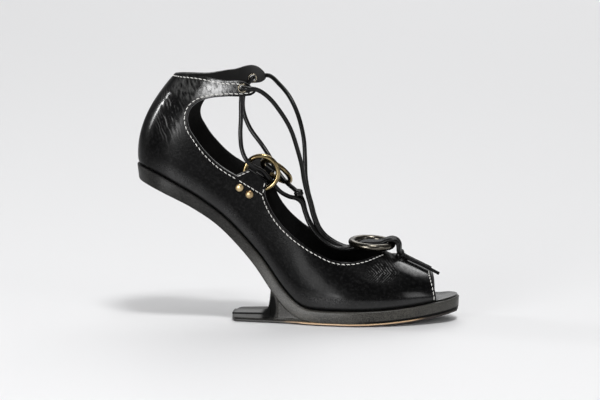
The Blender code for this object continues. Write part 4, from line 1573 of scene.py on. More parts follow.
        # Each edge that passes beside a middle takes it in or out.
        inside = np.zeros(len(spots), dtype=bool)
        for (x0, y0), (x1, y1) in zip(start, end):
            beside = (y0 > spots[:, 1]) != (y1 > spots[:, 1])
            if beside.any():
                reach = x0 + (spots[:, 1] - y0) * (x1 - x0) / (y1 - y0)
                inside ^= beside & (spots[:, 0] < reach)
        return [face for face, keep in zip(faces, inside) if keep]

    def leather(self) -> None:
        """Lay the flat sheet on the wall, crease it, and give it thickness and round edges."""
        flat, faces = self.flat_sheet()
        wide, high = self.flat_scale
        bm = bmesh.new()
        lifts = bm.verts.layers.float.new("lift")
        rims = bm.verts.layers.float.new("rim")
        verts = {}
        for index in sorted({corner for face in faces for corner in face}):
            u, v = flat[index].x / wide, min(1.0, max(0.0, flat[index].y / high))
            side = Side.MEDIAL if u >= 0.0 else Side.LATERAL
            t = min(LAST.rib_end, abs(u))
            point = LAST.wall(side, t, v)
            verts[index] = bm.verts.new(point)
            verts[index][lifts] = (point - LAST.wall(side, t, 0.0)).length
        for face in faces:
            bm.faces.new([verts[corner] for corner in face])
        bmesh.ops.remove_doubles(bm, verts=bm.verts, dist=self.weld)
        bmesh.ops.recalc_face_normals(bm, faces=bm.faces)
        outermost = max(bm.faces, key=lambda face: face.calc_center_median().y)
        if outermost.normal.y < 0.0:
            bmesh.ops.reverse_faces(bm, faces=bm.faces)
        bm.normal_update()
        for vert in bm.verts:
            vert[rims] = float(vert.is_boundary)
        self.crease(bm, lifts)
        mesh = mesh_from(bm, "upper_leather", self.sharp)
        made = add_piece("upper_leather", mesh, UPPER_LEATHER, "upper")
        mesh.materials.append(LINING.material())
        shell = made.modifiers.new("thickness", "SOLIDIFY")
        shell.thickness = LAST.leather * MM
        shell.offset = -1.0
        shell.use_even_offset = False
        shell.material_offset = 1
        shell.material_offset_rim = 0
        rim = made.modifiers.new("edge", "BEVEL")
        rim.width = self.rim_round * MM
        rim.segments = 2
        rim.limit_method = "ANGLE"
        rim.angle_limit = math.radians(self.rim_angle)
        rim.use_clamp_overlap = True

    def crease(self, bm: bmesh.types.BMesh, lifts: bmesh.types.BMLayerItem) -> None:
        """Press the creases into the sheet, pucker it at the tie and turn it in above the sole.

        Args:
            bm: The sheet.
            lifts: The layer with each point's distance from the deck.
        """
        place = np.array([vert.co for vert in bm.verts])
        out = np.zeros(len(place))
        for crease in self.creases:
            start = np.array((crease.x0, crease.z0))
            run = np.array((crease.x1, crease.z1)) - start
            offset = place[:, (0, 2)] - start
            share = np.clip(offset @ run / (run @ run), 0.0, 1.0)
            away = np.linalg.norm(offset - share[:, None] * run, axis=1)
            taper = np.clip(4.0 * share * (1.0 - share), 0.0, 1.0) ** 0.7
            out -= crease.depth * taper * np.exp(-((away / crease.width) ** 2))
        away = np.linalg.norm(place - np.array(self.tie_at), axis=1)
        out += self.pucker_height * np.exp(-(((away - self.pucker_radius) / self.pucker_width) ** 2))
        out -= self.pucker_depth * np.exp(-((away / self.pucker_width) ** 2))
        above = np.array([vert[lifts] for vert in bm.verts])
        out -= self.tuck * np.exp(-above / self.tuck_reach)
        for vert, by in zip(list(bm.verts), out):
            vert.co += vert.normal * float(by)

    def seam(self, side: Side, places: Sequence[Place], inset: float, inside: Sequence[float]) -> list[Vector]:
        """A line on the wall at a distance inside an edge.

        Args:
            side: The side of the foot.
            places: The edge's places.
            inset: The distance.
            inside: A direction that points roughly into the leather.

        Returns:
            The line's points.
        """
        points = [LAST.wall(side, t, v) for t, v in places]
        line = []
        for index, (t, v) in enumerate(places):
            along = points[min(index + 1, len(points) - 1)] - points[max(index - 1, 0)]
            away = LAST.normal(side, t, v).cross(along).normalized()
            if away.dot(Vector(inside)) < 0.0:
                away.negate()
            aim = points[index] + away * inset
            line.append(LAST.wall(side, *LAST.place(side, *LAST.slanted(aim), (t, v))))
        return line

    def stitch_lines(self, side: Side) -> list[list[Vector]]:
        """The rows of stitches on one side.

        Args:
            side: The side of the foot.

        Returns:
            Each row's line.
        """
        rows = dict(enumerate(self.edges[side], THROAT_FRONT))

        def stretch(first: int, end: int) -> list[Place]:
            """The places of some rows of the cut's table."""
            return [place for row in range(first, end) for place in rows[row]]

        throat = self.seam(side, stretch(THROAT_FRONT, TAB_FRONT)[3:], self.stitch_inset, (-0.3, 0.0, -1.0))
        low = self.seam(side, stretch(WINDOW_LOW, WINDOW_REAR)[1:], self.stitch_inset, (-0.7, 0.0, -0.7))
        rear = self.seam(side, stretch(WINDOW_REAR, WINDOW_TOP), self.stitch_inset, (-1.0, 0.0, 0.0))
        top = self.seam(side, stretch(WINDOW_TOP, TIP_UNDER + 2)[:-4], self.stitch_inset, (0.0, 0.0, 1.0))
        corner = low[0] + (low[0] - low[3]).normalized() * self.corner_reach
        tip = LAST.top_place(TOPLINE[TIP_TOP].x) - self.strap_short
        strap = [(tip * k / self.strap_steps, 1.0) for k in range(1, self.strap_steps + 1)]
        base_from, base_to = (Vector(end) for end in self.tab_base)
        base = [base_from.lerp(base_to, k / self.base_steps) for k in range(self.base_steps + 1)]
        base = [LAST.wall(side, *place) for place in LAST.trail(side, base, rows[WINDOW_LOW][0])]
        peep = [(LAST.rib_end, k / self.peep_steps) for k in range(2, self.peep_steps)]
        return [
            throat,
            [corner, *low, *rear, *top],
            self.seam(side, strap, self.strap_inset, (0.0, 0.0, -1.0)),
            self.seam(side, rows[TAB_FRONT], self.tab_inset, (-1.0, 0.0, -0.2)),
            self.seam(side, rows[TAB_REAR], self.tab_inset, (0.5, 0.0, -1.0)),
            base,
            self.seam(side, peep, self.peep_inset, (-1.0, 0.0, 0.0)),
        ]

    def stitching(self) -> None:
        """Sew every row with thread, each stitch a small capsule pulled into the leather."""
        bm = bmesh.new()
        size = Matrix.Diagonal((*(0.5 * length for length in self.stitch_size), 1.0))
        round_by, long_by = self.stitch_segments
        for side in Side:
            for line in self.stitch_lines(side):
                for point, along in resampled(line, self.stitch_pitch):
                    _, normal = LAST.at(side, point.x, point.z, self.nearest(side, point))
                    across = normal.cross(along).normalized()
                    slant = (along + across * self.stitch_slant * side.value).normalized()
                    basis = Matrix((slant, normal.cross(slant), normal)).transposed().to_4x4()
                    matrix = Matrix.Translation(point + normal * self.stitch_proud) @ basis @ size
                    bmesh.ops.create_uvsphere(
                        bm, u_segments=round_by, v_segments=long_by, radius=1.0, matrix=matrix
                    )
        add_solid(bm, "stitching", 180.0, THREAD)

    @staticmethod
    def nearest(side: Side, point: Vector) -> Place:
        """A place on the wall near a point, to start a search from."""
        table = [(t * 0.5, v * 0.1) for t in range(0, 27) for v in range(0, 11)]
        return min(table, key=lambda place: (LAST.wall(side, *place) - point).length)


@dataclass
class Sole:
    """Platform, spur, outsole and insole."""

    sections: int = 120
    sharp: float = 50.0
    spur_end_x: float = -41.5
    spur_bow: float = 4.5
    spur_half: float = 21.5
    spur_flare: float = 0.155
    spur_top_half: float = 8.5
    spur_top_shift: float = -2.0
    spur_plate_z: float = 3.9
    spur_lip: float = 1.6
    spur_fillet_x: float = -22.0
    spur_tip_x: float = -15.8
    spur_full_x: float = -9.5
    spur_front_x: float = 3.6
    spur_centre: float = -1.2
    spur_round: float = 2.6
    spur_inset: float = 0.4
    spur_seat_gaps: float = 1.8
    flank_steps: int = 9
    flank_power: float = 2.9
    foot_share: float = 0.35
    foot_round: float = 0.3
    ramp_share: float = 0.4
    ramp_power: float = 2.4
    hook_power: float = 8.0
    web_thin: float = 0.15
    web_step: float = 0.1
    arch_rows: Pair = (4.0, 10.0)
    bow_steps: int = 12
    tail_steps: int = 8
    fillet_steps: int = 22
    seat_steps: int = 30
    tread_steps: int = 90
    ball_x: float = 14.0
    tread_inset: float = 0.9
    insole_thick: float = 1.7
    toe_thick: float = 0.9
    insole_inset: float = 3.5
    insole_gaps: float = 1.3
    toe_inset: float = 1.1
    toe_open_x: float = 94.5
    toe_open_run: float = 4.0
    thin_from_x: float = 70.0
    thin_run: float = 20.0
    platform_edges: Pair = (1.1, 0.5)
    tread_edges: Pair = (0.25, 0.55)
    insole_edges: Pair = (0.4, 0.2)

    def build(self) -> None:
        """Make the four pieces of the sole."""
        self.platform()
        self.spur()
        self.tread()
        self.insole()

    @staticmethod
    def plate(
        stations: Sequence[Point],
        top_of: Callable[[float], Pair],
        under_of: Callable[[float], Pair],
        edges: Pair,
    ) -> bmesh.types.BMesh:
        """A plate with a round rim all the way, bent along its length.

        Args:
            stations: Length, middle and half width of the outline, from its back tip to its front tip.
            top_of: Length and height of the upper face over a length of the outline.
            under_of: Length and height of the lower face.
            edges: Radius of the upper and of the lower edge.

        Returns:
            The plate.
        """
        medial = [Vector((x, middle + half, 0.0)) for x, middle, half in stations[1:-1]]
        lateral = [Vector((x, middle - half, 0.0)) for x, middle, half in stations[1:-1]]
        tips = [Vector((x, middle, 0.0)) for x, middle, _ in (stations[0], stations[-1])]
        outline = [tips[0]] + medial + [tips[1]] + lateral[::-1]
        count, side, square = len(outline), len(medial), 0.5 * math.pi
        loops = []
        for face, angles in enumerate(((0.0, 0.4, 0.8, 1.2, square), (square, 1.1, 0.6, 0.0))):
            for angle in angles:
                inset, depth = (edges[face] * (1.0 - turn(angle)) for turn in (math.sin, math.cos))
                loop = []
                for k, point in enumerate(outline):
                    along = outline[(k + 1) % count] - outline[k - 1]
                    spot = point - Vector((-along.y, along.x, 0.0)).normalized() * inset
                    top, under = Vector(top_of(spot.x)), Vector(under_of(spot.x))
                    down = (under - top).normalized()
                    at = under - down * depth if face else top + down * depth
                    loop.append((at.x, spot.y, at.y))
                loops.append(loop)
        bm = bmesh.new()
        rings = skinned(bm, loops)
        for ring in (rings[0], rings[-1]):
            made = bmesh.ops.bridge_loops(bm, edges=ring[1:side] + ring[side + 2 : count - 1])["faces"]
            spare = [ring[0], ring[-1], ring[side], ring[side + 1]]
            spare += [edge for face in made for edge in face.edges if edge.is_boundary]
            bmesh.ops.holes_fill(bm, edges=spare, sides=3)
        return bm

    def platform(self) -> None:
        """The wrapped platform: one bent slab from the heel seat to the toe."""
        rows = [between(SOLE, t) for t in spaced(self.sections, LAST.sole_end)]
        stations = [(row.x, row.centre, row.half) for row in rows]

        def top_of(x: float) -> Pair:
            """The deck over a length."""
            return x, LAST.deck_at(x)

        def under_of(x: float) -> Pair:
            """The platform's lower edge below a length of the deck."""
            return LAST.under_point(LAST.section_at_x(x))

        bm = self.plate(stations, top_of, under_of, self.platform_edges)
        add_solid(bm, "platform_wrap", self.sharp, SOLE_WRAP, "platform")

    def tread_half(self, x: float) -> float:
        """Half width of what stands on the floor.

        Args:
            x: The length.

        Returns:
            The half width.
        """
        flare = self.spur_half + self.spur_flare * (x - self.spur_end_x - self.spur_bow)
        share = smoothstep((x - self.spur_full_x) / (self.ball_x - self.spur_full_x))
        half = flare + (LAST.section_at_x(x).half - flare) * share
        bow = max(0.0, 1.0 - (x - self.spur_end_x) / self.spur_bow)
        return half * math.sqrt(max(0.0, 1.0 - bow**self.spur_round))

    def tread_centre(self, x: float) -> float:
        """Y of the middle of what stands on the floor at a length."""
        return self.spur_centre if x < self.spur_tip_x else LAST.section_at_x(x).centre

    def arch_under_z(self, x: float) -> float:
        """Height of the platform's underside over a point of the floor, behind the ball."""
        place, _ = halved(*self.arch_rows, lambda t: LAST.under_point(between(SOLE, t))[0] < x)
        return LAST.under_point(between(SOLE, place))[1]

    def spur_top(self, x: float) -> float:
        """Height of the spur: a flat tail, a tight fillet, then the arch.

        Args:
            x: The length.

        Returns:
            The height.
        """
        if x < self.spur_fillet_x:
            return self.spur_plate_z
        seat = self.arch_under_z(max(x, self.spur_tip_x)) - self.spur_seat_gaps * LAST.gap
        if x > self.spur_tip_x:
            return seat
        run = (x - self.spur_fillet_x) / (self.spur_tip_x - self.spur_fillet_x)
        shape = self.ramp_share * run**self.ramp_power + (1.0 - self.ramp_share) * run**self.hook_power
        return self.spur_plate_z + (seat - self.spur_plate_z) * shape

    def spur_loop(self, x: float) -> list[Point]:
        """Points round the spur: a wide foot with a lip, hollow flanks and a narrow top.

        Args:
            x: The length.

        Returns:
            The loop.
        """
        base = LAST.outsole + LAST.gap
        foot = self.tread_half(x) - self.spur_inset
        middle = self.tread_centre(x)
        grow = smoothstep((x - self.spur_tip_x) / (self.spur_full_x - self.spur_tip_x))
        widest = foot - self.spur_inset
        top = min(widest, self.spur_top_half + (widest - self.spur_top_half) * grow)
        top_middle = middle + self.spur_top_shift * (1.0 - grow) * min(1.0, top / self.spur_top_half)
        high = self.spur_top(x)
        lip = min(base + self.spur_lip, 0.5 * (base + high))
        shares = [k / self.flank_steps for k in range(self.flank_steps + 1)]
        flank = [(s * s, (1.0 - s * s) ** self.flank_power) for s in shares]
        sides = {}
        for side in Side:
            near, far = top_middle + side.value * top, middle + side.value * foot
            sides[side] = [(x, near + (far - near) * out, lip + (high - lip) * up) for out, up in flank]
            sides[side].append((x, far, base + self.foot_share * (lip - base)))
            sides[side].append((x, far - side.value * self.foot_round, base))
        return sides[Side.LATERAL] + sides[Side.MEDIAL][::-1]

    def bow_places(self) -> list[float]:
        """Lengths of the sections over the spur's round back end."""
        end = self.spur_end_x + self.spur_bow
        return eased(end, self.spur_end_x, self.bow_steps)[-2::-1] + [end]

    def spur(self) -> None:
        """The rear spur: a flat tail and a web that rises into the arch, until the web grows too thin."""
        floor = LAST.outsole + LAST.gap
        tail_end = self.spur_end_x + self.spur_bow
        tail = even(tail_end, self.spur_fillet_x, self.tail_steps)
        fillet = eased(self.spur_fillet_x, self.spur_tip_x, self.fillet_steps)
        front = self.spur_front_x
        while self.spur_top(front) - floor < self.web_thin:
            front -= self.web_step
        while self.spur_top(front + self.web_step) - floor > self.web_thin:
            front += self.web_step
        seat = even(self.spur_tip_x, front, self.seat_steps)
        bm = loft([self.spur_loop(x) for x in self.bow_places() + tail + fillet + seat])
        add_solid(bm, "spur_wrap", self.sharp, SOLE_WRAP, "spur")

    def tread(self) -> None:
        """The leather outsole under the spur and the forefoot, with the toe spring."""
        bow = self.bow_places()
        stations = [(self.spur_end_x, self.spur_centre, 0.0)]
        for x in bow + eased(bow[-1], SOLE[-1].x - self.tread_inset, self.tread_steps):
            stations.append((x, self.tread_centre(x), max(self.tread_half(x) - self.tread_inset, 0.0)))

        def top_of(x: float) -> Pair:
            """The outsole's upper face."""
            return x, LAST.spring(x) + LAST.outsole

        def under_of(x: float) -> Pair:
            """The tread."""
            return x, LAST.spring(x)

        bm = self.plate(stations, top_of, under_of, self.tread_edges)
        add_solid(bm, "outsole_leather", self.sharp, TREAD, "outsole")

    def insole(self) -> None:
        """The insole: inside the upper from heel to ball, and out to the edge of the bare toe."""
        stations = []
        for t in spaced(self.sections, LAST.sole_end):
            row = between(SOLE, t)
            share = min(1.0, max(0.0, (row.x - self.toe_open_x) / self.toe_open_run))
            inset = self.insole_inset + (self.toe_inset - self.insole_inset) * share
            out = Vector((math.copysign(1.0, row.x), 0.0, 0.0))
            if 0.0 < t < LAST.sole_end:
                out = LAST.outline_normal(Side.MEDIAL, t)
            stations.append((row.x - inset * out.x, row.centre, max(row.half - inset * abs(out.y), 0.0)))

        def under_of(x: float) -> Pair:
            """The insole's lower face."""
            return x, LAST.deck_at(x) + self.insole_gaps * LAST.gap

        def top_of(x: float) -> Pair:
            """The insole's upper face, square to the deck's slope.

            Args:
                x: The length of the outline.

            Returns:
                The length and height of the face.
            """
            slope = 0.5 * (LAST.deck_at(x - 1.0) - LAST.deck_at(x + 1.0))
            thin = min(1.0, max(0.0, (x - self.thin_from_x) / self.thin_run))
            thick = (self.insole_thick + (self.toe_thick - self.insole_thick) * thin) / math.hypot(1.0, slope)
            return x + thick * slope, under_of(x)[1] + thick

        bm = self.plate(stations, top_of, under_of, self.insole_edges)
        add_solid(bm, "insole_leather", self.sharp, INSOLE, "insole")


@dataclass
class MetalWork:
    """Rings, their loops, rivets and eyelets."""

    front_radius: float = 13.1
    front_wire: float = 2.3
    front_at: Point = (49.0, 0.0, 49.5)
    front_pitch: float = 4.2
    front_roll: float = -4.4
    side_radius: float = 10.8
    side_wire: float = 1.6
    wire_sides: int = 20
    ring_steps: int = 72
    ring_clear: float = 1.2
    lateral_up: float = 1.1
    medial_down: float = 3.1
    medial_turn: float = 30.0
    medial_lift: float = 27.0
    tab_top: Pair = (-22.5, 97.3)
    tab_along: Pair = (0.83, -0.56)
    tab_near: Place = (5.0, 0.4)
    loop_width: float = 5.4
    loop_thick: float = 1.3
    loop_gap: float = 0.6
    loop_bend: float = -10.4
    loop_foot: float = -17.0
    loop_turn: float = 2.8
    loop_depth: Pair = (3.6, 6.8)
    loop_along: Pair = (1.5, 3.6)
    loop_round: float = 0.32
    loop_sharp: float = 0.5
    loop_steps: int = 4
    rivet_radius: float = 2.7
    rivet_dome: float = 1.5
    rivet_rim: float = 0.25
    rivet_proud: float = 0.05
    rivet_along: Pair = (-4.8, 2.9)
    rivet_down: float = 14.3
    rivet_near: Place = (5.0, 0.3)
    rivet_steps: int = 8
    rivet_turn: int = 32
    eyelet_hole: float = 1.95
    eyelet_barrel: float = 2.4
    eyelet_flange: float = 3.1
    eyelet_lip: float = 0.75
    eyelet_clear: float = 0.12
    eyelet_tuck: float = 0.1
    eyelet_steps: int = 6
    eyelet_turn: int = 40

    def build(self) -> None:
        """Make every metal piece and the loops that hold the rings."""
        pitch = Matrix.Rotation(math.radians(self.front_pitch), 4, "Y")
        roll = Matrix.Rotation(math.radians(-self.front_roll), 4, "X")
        front = Matrix.Translation(self.front_at) @ pitch @ roll
        self.ring("front_ring", front, self.front_radius, self.front_wire, PEWTER)
        for side in Side:
            pose = standing(*self.ring_pose(side))
            self.ring(f"side_ring_{side.label}", pose, self.side_radius, self.side_wire, BRASS)
            self.loop(side)
            self.rivets(side)
            self.eyelet(side)

    def ring(self, node: str, matrix: Matrix, radius: float, wire: float, finish: Finish) -> None:
        """A round-wire ring, turned from a circle.

        Args:
            node: The CAD node that it stands for.
            matrix: Its place and lean.
            radius: Radius of the wire's middle line.
            wire: Radius of the wire.
            finish: Its metal.
        """
        circle = [2.0 * math.pi * k / self.wire_sides for k in range(self.wire_sides)]
        profile = [(radius + wire * math.cos(a), wire * math.sin(a)) for a in circle]
        add_solid(turned(profile, self.ring_steps, True, matrix), f"{node}_wire", 180.0, finish, node)

    def tab_frame(self, side: Side) -> Frame:
        """The frame of a ring tab.

        Args:
            side: The side of the foot.

        Returns:
            The middle of its fold, the direction along it, up across it, and outward.
        """
        point, normal = LAST.at(side, *self.tab_top, self.tab_near)
        run = Vector((self.tab_along[0], 0.0, self.tab_along[1]))
        run = (run - normal * run.dot(normal)).normalized()
        up = normal.cross(run).normalized()
        return point, run, (-up if up.z < 0.0 else up), normal

    def ring_pose(self, side: Side) -> tuple[Vector, Vector]:
        """Middle and axis of a side ring.

        Args:
            side: The side of the foot.

        Returns:
            The middle, and the axis that the ring turns about.
        """
        point, run, up, out = self.tab_frame(side)
        inside = LAST.leather + self.side_wire + self.ring_clear
        if side is Side.LATERAL:
            return point + run * self.loop_along[0] + up * self.lateral_up - out * inside, out
        held = point + run * self.loop_along[1] - up * self.medial_down - out * (inside + self.loop_gap)
        lift, turn = math.radians(self.medial_lift), math.radians(self.medial_turn)
        reach = (up * math.sin(lift) - out * math.cos(lift)) * math.cos(turn) + run * math.sin(turn)
        tangent = (run - reach * run.dot(reach)).normalized()
        return held + reach * self.side_radius, reach.cross(tangent).normalized()

    def loop(self, side: Side) -> None:
        """The leather strip that is folded round a ring behind its tab.

        Args:
            side: The side of the foot.
        """
        index = 0 if side is Side.LATERAL else 1
        near = LAST.leather + self.loop_gap
        far = near + self.loop_depth[index] + self.loop_thick
        thick, top = self.loop_thick, -LAST.gap
        profile = [
            (top, near),
            (top, far),
            (self.loop_bend - 0.5 * thick, far),
            (self.loop_bend - self.loop_turn, near + thick),
            (self.loop_foot, near + thick),
            (self.loop_foot, near),
            (self.loop_bend - self.loop_turn + 0.5 * thick, near),
            (self.loop_bend, far - thick),
            (top - thick, far - thick),
            (top - thick, near),
        ]
        point, run, up, _ = self.tab_frame(side)
        loops = []
        for k in range(self.loop_steps + 1):
            along = self.loop_along[index] + self.loop_width * (k / self.loop_steps - 0.5)
            loop = []
            for rise, depth in profile:
                guess = point + run * along + up * rise
                seat, normal = LAST.at(side, guess.x, guess.z, self.tab_near)
                loop.append(seat - normal * depth)
            loops.append(loop)
        bm = loft(loops)
        bmesh.ops.recalc_face_normals(bm, faces=bm.faces)
        sharp = [edge for edge in bm.edges if edge.is_manifold and edge.calc_face_angle(0.0) > self.loop_sharp]
        rounding = {"offset": self.loop_round, "segments": 2, "profile": 0.5}
        bmesh.ops.bevel(bm, geom=sharp, affect="EDGES", material=-1, **rounding)
        node = f"ring_loop_{side.label}"
        add_solid(bm, f"{node}_strip", 50.0, LOOP_LEATHER, node)

    def rivets(self, side: Side) -> None:
        """Two domed rivets below a tab.

        Args:
            side: The side of the foot.
        """
        point, run, up, _ = self.tab_frame(side)
        profile = [(0.0, 0.0), (self.rivet_radius, 0.0)]
        for k in range(self.rivet_steps + 1):
            angle = 0.5 * math.pi * k / self.rivet_steps
            rise = self.rivet_rim + self.rivet_dome * math.sin(angle)
            profile.append((self.rivet_radius * math.cos(angle), rise))
        for number, along in enumerate(self.rivet_along, 1):
            guess = point + run * along - up * self.rivet_down
            seat, normal = LAST.at(side, guess.x, guess.z, self.rivet_near)
            matrix = standing(seat + normal * self.rivet_proud, normal)
            node = f"rivet_{side.label}_{number}"
            add_solid(turned(profile, self.rivet_turn, False, matrix), f"{node}_head", 60.0, RIVET_BRASS, node)

    def eyelet(self, side: Side) -> None:
        """A turned eyelet through the end of the ankle strap.

        Args:
            side: The side of the foot.
        """
        half = 0.5 * LAST.leather + self.eyelet_clear
        middle = 0.5 * (self.eyelet_hole + self.eyelet_flange)
        reach = 0.5 * (self.eyelet_flange - self.eyelet_hole)
        outer = []
        for k in range(self.eyelet_steps + 1):
            angle = math.pi * k / self.eyelet_steps
            outer.append((middle - reach * math.cos(angle), half + self.eyelet_lip * math.sin(angle)))
        back = [(radius, -height) for radius, height in outer[::-1]]
        barrel = [(self.eyelet_barrel, half - self.eyelet_tuck), (self.eyelet_barrel, self.eyelet_tuck - half)]
        point, normal = LAST.eyelet_seat(side)
        matrix = standing(point - normal * 0.5 * LAST.leather, normal)
        node = f"eyelet_{side.label}"
        bm = turned(outer + barrel + back, self.eyelet_turn, True, matrix)
        add_solid(bm, f"{node}_metal", 60.0, EYELET_METAL, node)


RING_OVER = (
    (66.8, 45.3), (66.7, 48.4), (65.2, 51.3), (62.2, 52.5), (59.2, 51.9), (56.0, 50.4),
    (50.0, 49.9), (44.8, 49.8), (41.4, 48.8), (38.2, 47.1), (34.6, 46.2),
)
LACE_RETURN = (
    (28.4, 4.6, 46.2), (22.6, 4.4, 48.0), (17.0, 4.0, 51.6), (12.0, 3.4, 56.6),
    (8.0, 2.6, 62.8), (5.4, 2.0, 69.6),
)
LACE_BACK = {
    Side.LATERAL: (
        (3.5, 2.2, 75.4), (0.4, 3.6, 78.4), (-4.4, 8.0, 80.4), (-9.8, 13.8, 84.6),
        (-15.8, 18.4, 92.8), (-20.4, 22.4, 98.8), (-24.4, 26.6, 101.6), (-29.0, 28.6, 105.6),
        (-32.6, 27.4, 112.6), (-33.9, 25.4, 122.0), (-33.6, 24.6, 134.0), (-33.4, 24.4, 146.6),
    ),
    Side.MEDIAL: (
        (3.9, 2.2, 75.8), (2.0, 2.3, 79.6), (-1.2, 3.7, 82.8), (-6.4, 7.0, 86.4),
        (-11.2, 10.0, 90.8), (-15.6, 12.6, 96.4), (-20.2, 15.8, 104.0), (-25.4, 19.4, 110.8),
        (-33.6, 22.2, 121.6), (-38.0, 23.4, 134.0), (-36.6, 24.4, 146.6),
    ),
}
LACE_ARC = {
    Side.LATERAL: (
        (-22.6, 31.8, 152.6), (-15.6, 27.0, 147.2), (-8.6, 21.4, 137.4), (-2.6, 15.4, 125.5),
        (1.6, 9.6, 110.5), (3.8, 5.6, 100.0), (5.0, 2.8, 90.0), (7.1, 1.9, 81.0),
        (9.2, 1.9, 73.5), (11.2, 1.9, 66.0), (14.4, 1.8, 58.2), (18.6, 1.7, 53.2),
        (27.0, 1.6, 48.2),
    ),
    Side.MEDIAL: (
        (-22.0, 31.8, 154.6), (-13.8, 24.4, 149.4), (-7.0, 18.4, 142.6), (-0.8, 12.6, 131.6),
        (3.6, 7.6, 116.5), (4.8, 4.8, 103.0), (5.4, 3.0, 92.0), (7.2, 2.0, 82.0),
        (9.4, 1.9, 74.0), (11.4, 1.9, 66.5), (14.6, 1.8, 58.7), (18.8, 1.7, 53.6),
        (27.0, 1.6, 48.4),
    ),
}
TIE_TAIL = {
    Side.LATERAL: (
        (92.8, 0.4, 30.0), (88.0, 0.0, 32.6), (82.0, -0.7, 35.7), (76.0, -1.0, 38.6),
        (71.6, -0.9, 40.8), (68.4, -1.6, 42.7),
    ),
    Side.MEDIAL: (
        (87.4, 3.2, 33.2), (82.0, 2.9, 35.8), (76.0, 2.6, 38.7), (71.6, 2.3, 40.8),
        (68.4, 2.6, 42.7),
    ),
}


@dataclass
class Lacing:
    """Two leather cords with their knot over the instep and their tie on the vamp."""

    radius: float = 1.45
    tail_share: float = 0.72
    tail_length: float = 30.0
    step: float = 1.3
    cord_round: int = 4
    turn_steps: int = 40
    tuck_share: float = 0.55
    tuck_speed: float = 6.0
    return_y: float = 4.6
    arc_y: float = 1.6
    eyelet_run: float = 2.4
    eyelet_leave: float = 4.9
    eyelet_turn: Point = (2.6, 0.0, 0.3)
    knot: Winding = Winding("lace_knot", (1.2, 0.0, 81.2), (-0.25, 0.0, 1.0), 1.7, 2.3, 1.5)
    tie: Winding = Winding("tie_knot", (67.6, 0.4, 42.9), (0.0, 1.0, 0.08), 1.1, 3.2, 2.3)

    def build(self) -> None:
        """Make both cords, the knot and the tie."""
        knot = self.wound(self.knot)
        tie = self.wound(self.tie)
        ends = {Side.LATERAL: "tie_end_long", Side.MEDIAL: "tie_end_short"}
        for side in Side:
            route = smooth_route(self.route(side), self.step)
            nodes = (f"lace_{side.label}", ends[side])
            cord = self.cord(f"lace_cord_{side.label}", route, self.tail_share, *nodes)
            length = sum((b - a).length for a, b in zip(route, route[1:])) * MM
            [c * MM for c in route[0]]
            2.0 * self.radius * MM

    def route(self, side: Side) -> list[Vector]:
        """The whole route of one side's cord, from its tail to its end in the tie.

        Args:
            side: The side of the foot.

        Returns:
            The route's points.
        """
        sign = side.value
        point, normal = LAST.eyelet_seat(side)
        middle = point - normal * 0.5 * LAST.leather
        leave = middle + normal * self.eyelet_leave + Vector(self.eyelet_turn)
        eyelet = [middle - normal * self.eyelet_run, middle, middle + normal * self.eyelet_run, leave]
        start = [(x, self.return_y, z) for x, z in RING_OVER]
        end = [(x, self.arc_y, z) for x, z in reversed(RING_OVER)]
        inside = [Vector((x, sign * y, z)) for x, y, z in (*start, *LACE_RETURN, *LACE_BACK[side])]
        outside = [Vector((x, sign * y, z)) for x, y, z in (*LACE_ARC[side], *end)]
        return [Vector(p) for p in TIE_TAIL[side]] + inside + eyelet + outside

    def cord(self, name: str, route: Sequence[Vector], tail: float, *nodes: str) -> bpy.types.Object:
        """A round cord along a route.

        Args:
            name: The piece's name.
            route: Its middle line.
            tail: The share of its radius at its first end.
            nodes: The CAD nodes that it stands for.

        Returns:
            The object.
        """
        curve = bpy.data.curves.new(name, "CURVE")
        curve.dimensions = "3D"
        curve.bevel_depth = self.radius * MM
        curve.bevel_resolution = self.cord_round
        curve.use_fill_caps = True
        spline = curve.splines.new("POLY")
        spline.points.add(len(route) - 1)
        along = 0.0
        for k, (point, place) in enumerate(zip(spline.points, route)):
            along += (place - route[max(k - 1, 0)]).length
            point.co = (*(place * MM), 1.0)
            point.radius = tail + (1.0 - tail) * smoothstep(1.5 * along / self.tail_length - 0.5)
        return add_piece(name, curve, CORD, *nodes)

    def wound(self, winding: Winding) -> bpy.types.Object:
        """Cord wound tightly round an axis, with both ends tucked in.

        Args:
            winding: Its sizes.

        Returns:
            The object.
        """
        matrix = standing(Vector(winding.at), Vector(winding.axis).normalized())
        count = int(winding.turns * self.turn_steps)
        route = []
        for k in range(count + 1):
            angle = 2.0 * math.pi * winding.turns * k / count
            out = smoothstep(self.tuck_speed * min(k, count - k) / count)
            reach = winding.radius * (self.tuck_share + (1.0 - self.tuck_share) * out)
            height = winding.pitch * winding.turns * (k / count - 0.5)
            route.append(matrix @ Vector((reach * math.cos(angle), reach * math.sin(angle), height)))
        return self.cord(f"{winding.node}_turns", route, 1.0, winding.node)


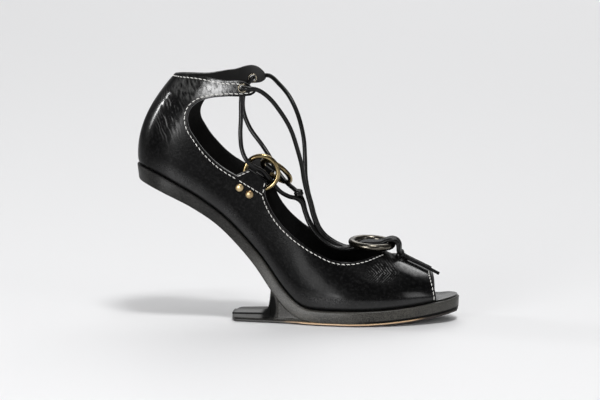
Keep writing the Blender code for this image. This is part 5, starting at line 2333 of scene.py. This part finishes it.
@dataclass
class Studio:
    """Floor, lights and camera, in metres."""

    azimuth: float = 6.0
    elevation: float = 8.0
    distance: float = 3.0
    aim: Point = (0.002, 0.0, 0.077)
    lens: float = 276.9
    sensor: float = 36.0
    sight: float = 100.0
    floor_size: float = 12.0
    floor_z: float = -0.0002
    room: tuple[float, float, float, float] = (0.98, 0.985, 1.0, 1.0)
    room_light: float = 0.1
    boxes: tuple[Softbox, ...] = (
        Softbox("key", (0.47, -1.0, 2.7), (0.0, 0.1, 0.0), (0.6, 0.6), 43.0),
        Softbox("top", (0.4, 0.0, 2.5), (0.1, 0.0, 0.0), (0.8, 0.5), 5.0),
        Softbox("overhead", (-0.1, 2.6, 2.8), (-0.1, 2.6, 0.0), (3.6, 2.6), 60.0),
        Softbox("back_top", (0.1, 3.5, 2.1), (0.0, 0.6, 0.0), (2.6, 1.0), 14.0),
        Softbox("backdrop", (0.0, 4.2, 1.5), (0.0, 0.0, 0.3), (5.0, 2.4), 14.0),
        Softbox("left_box", (-0.66, -1.46, 0.27), (-0.05, 0.0, 0.15), (0.7, 0.46), 17.0),
        Softbox("back_strip", (-1.8, 0.35, 0.66), (-0.1, 0.0, 0.13), (0.16, 0.5), 8.0),
        Softbox("right_fill", (1.3, -0.9, 0.45), (0.1, 0.0, 0.02), (0.5, 0.5), 2.6),
    )

    def build(self) -> None:
        """Set the stage."""
        self.camera()
        self.floor()
        self.lights()

    @staticmethod
    def aimed(name: str, data: bpy.types.ID, at: Vector, along: Vector) -> bpy.types.Object:
        """An object that looks along a direction.

        Args:
            name: The object's name.
            data: Its camera or light.
            at: Its place.
            along: The direction.

        Returns:
            The object.
        """
        made = linked(name, data)
        made.location = at
        made.rotation_mode = "QUATERNION"
        made.rotation_quaternion = along.to_track_quat("-Z", "Y")
        return made

    def camera(self) -> None:
        """The camera at the photo's angle."""
        a, e = math.radians(self.azimuth), math.radians(self.elevation)
        back = Vector((math.sin(a) * math.cos(e), -math.cos(a) * math.cos(e), math.sin(e)))
        data = bpy.data.cameras.new("camera")
        data.lens = self.lens
        data.sensor_width = self.sensor
        data.clip_end = self.sight
        bpy.context.scene.camera = self.aimed("camera", data, Vector(self.aim) + back * self.distance, -back)

    def floor(self) -> None:
        """A wide pale floor."""
        bm = bmesh.new()
        bmesh.ops.create_grid(bm, x_segments=2, y_segments=2, size=self.floor_size)
        mesh = bpy.data.meshes.new("floor")
        bm.to_mesh(mesh)
        bm.free()
        floor = linked("floor", mesh)
        floor.location.z = self.floor_z
        mesh.materials.append(FloorPaint().material())

    def lights(self) -> None:
        """Soft studio light: a large box above, strips at the left, and a pale room."""
        world = bpy.data.worlds.new("room")
        world.use_nodes = True
        ground = world.node_tree.nodes["Background"].inputs
        ground["Color"].default_value = self.room
        ground["Strength"].default_value = self.room_light
        bpy.context.scene.world = world
        bpy.context.scene.view_settings.view_transform = "Standard"
        for box in self.boxes:
            data = bpy.data.lights.new(box.name, "AREA")
            data.shape = "RECTANGLE"
            data.size, data.size_y = box.size
            data.energy = box.watts
            self.aimed(box.name, data, Vector(box.at), Vector(box.aim) - Vector(box.at))


def main() -> None:
    """Dress the shoe and set the stage."""
    logging.basicConfig(level=logging.INFO, format="%(name)s: %(message)s")
    Studio().build()
    Lacing().build()
    Sole().build()
    Upper().build()
    MetalWork().build()


if __name__ == "__main__":
    main()
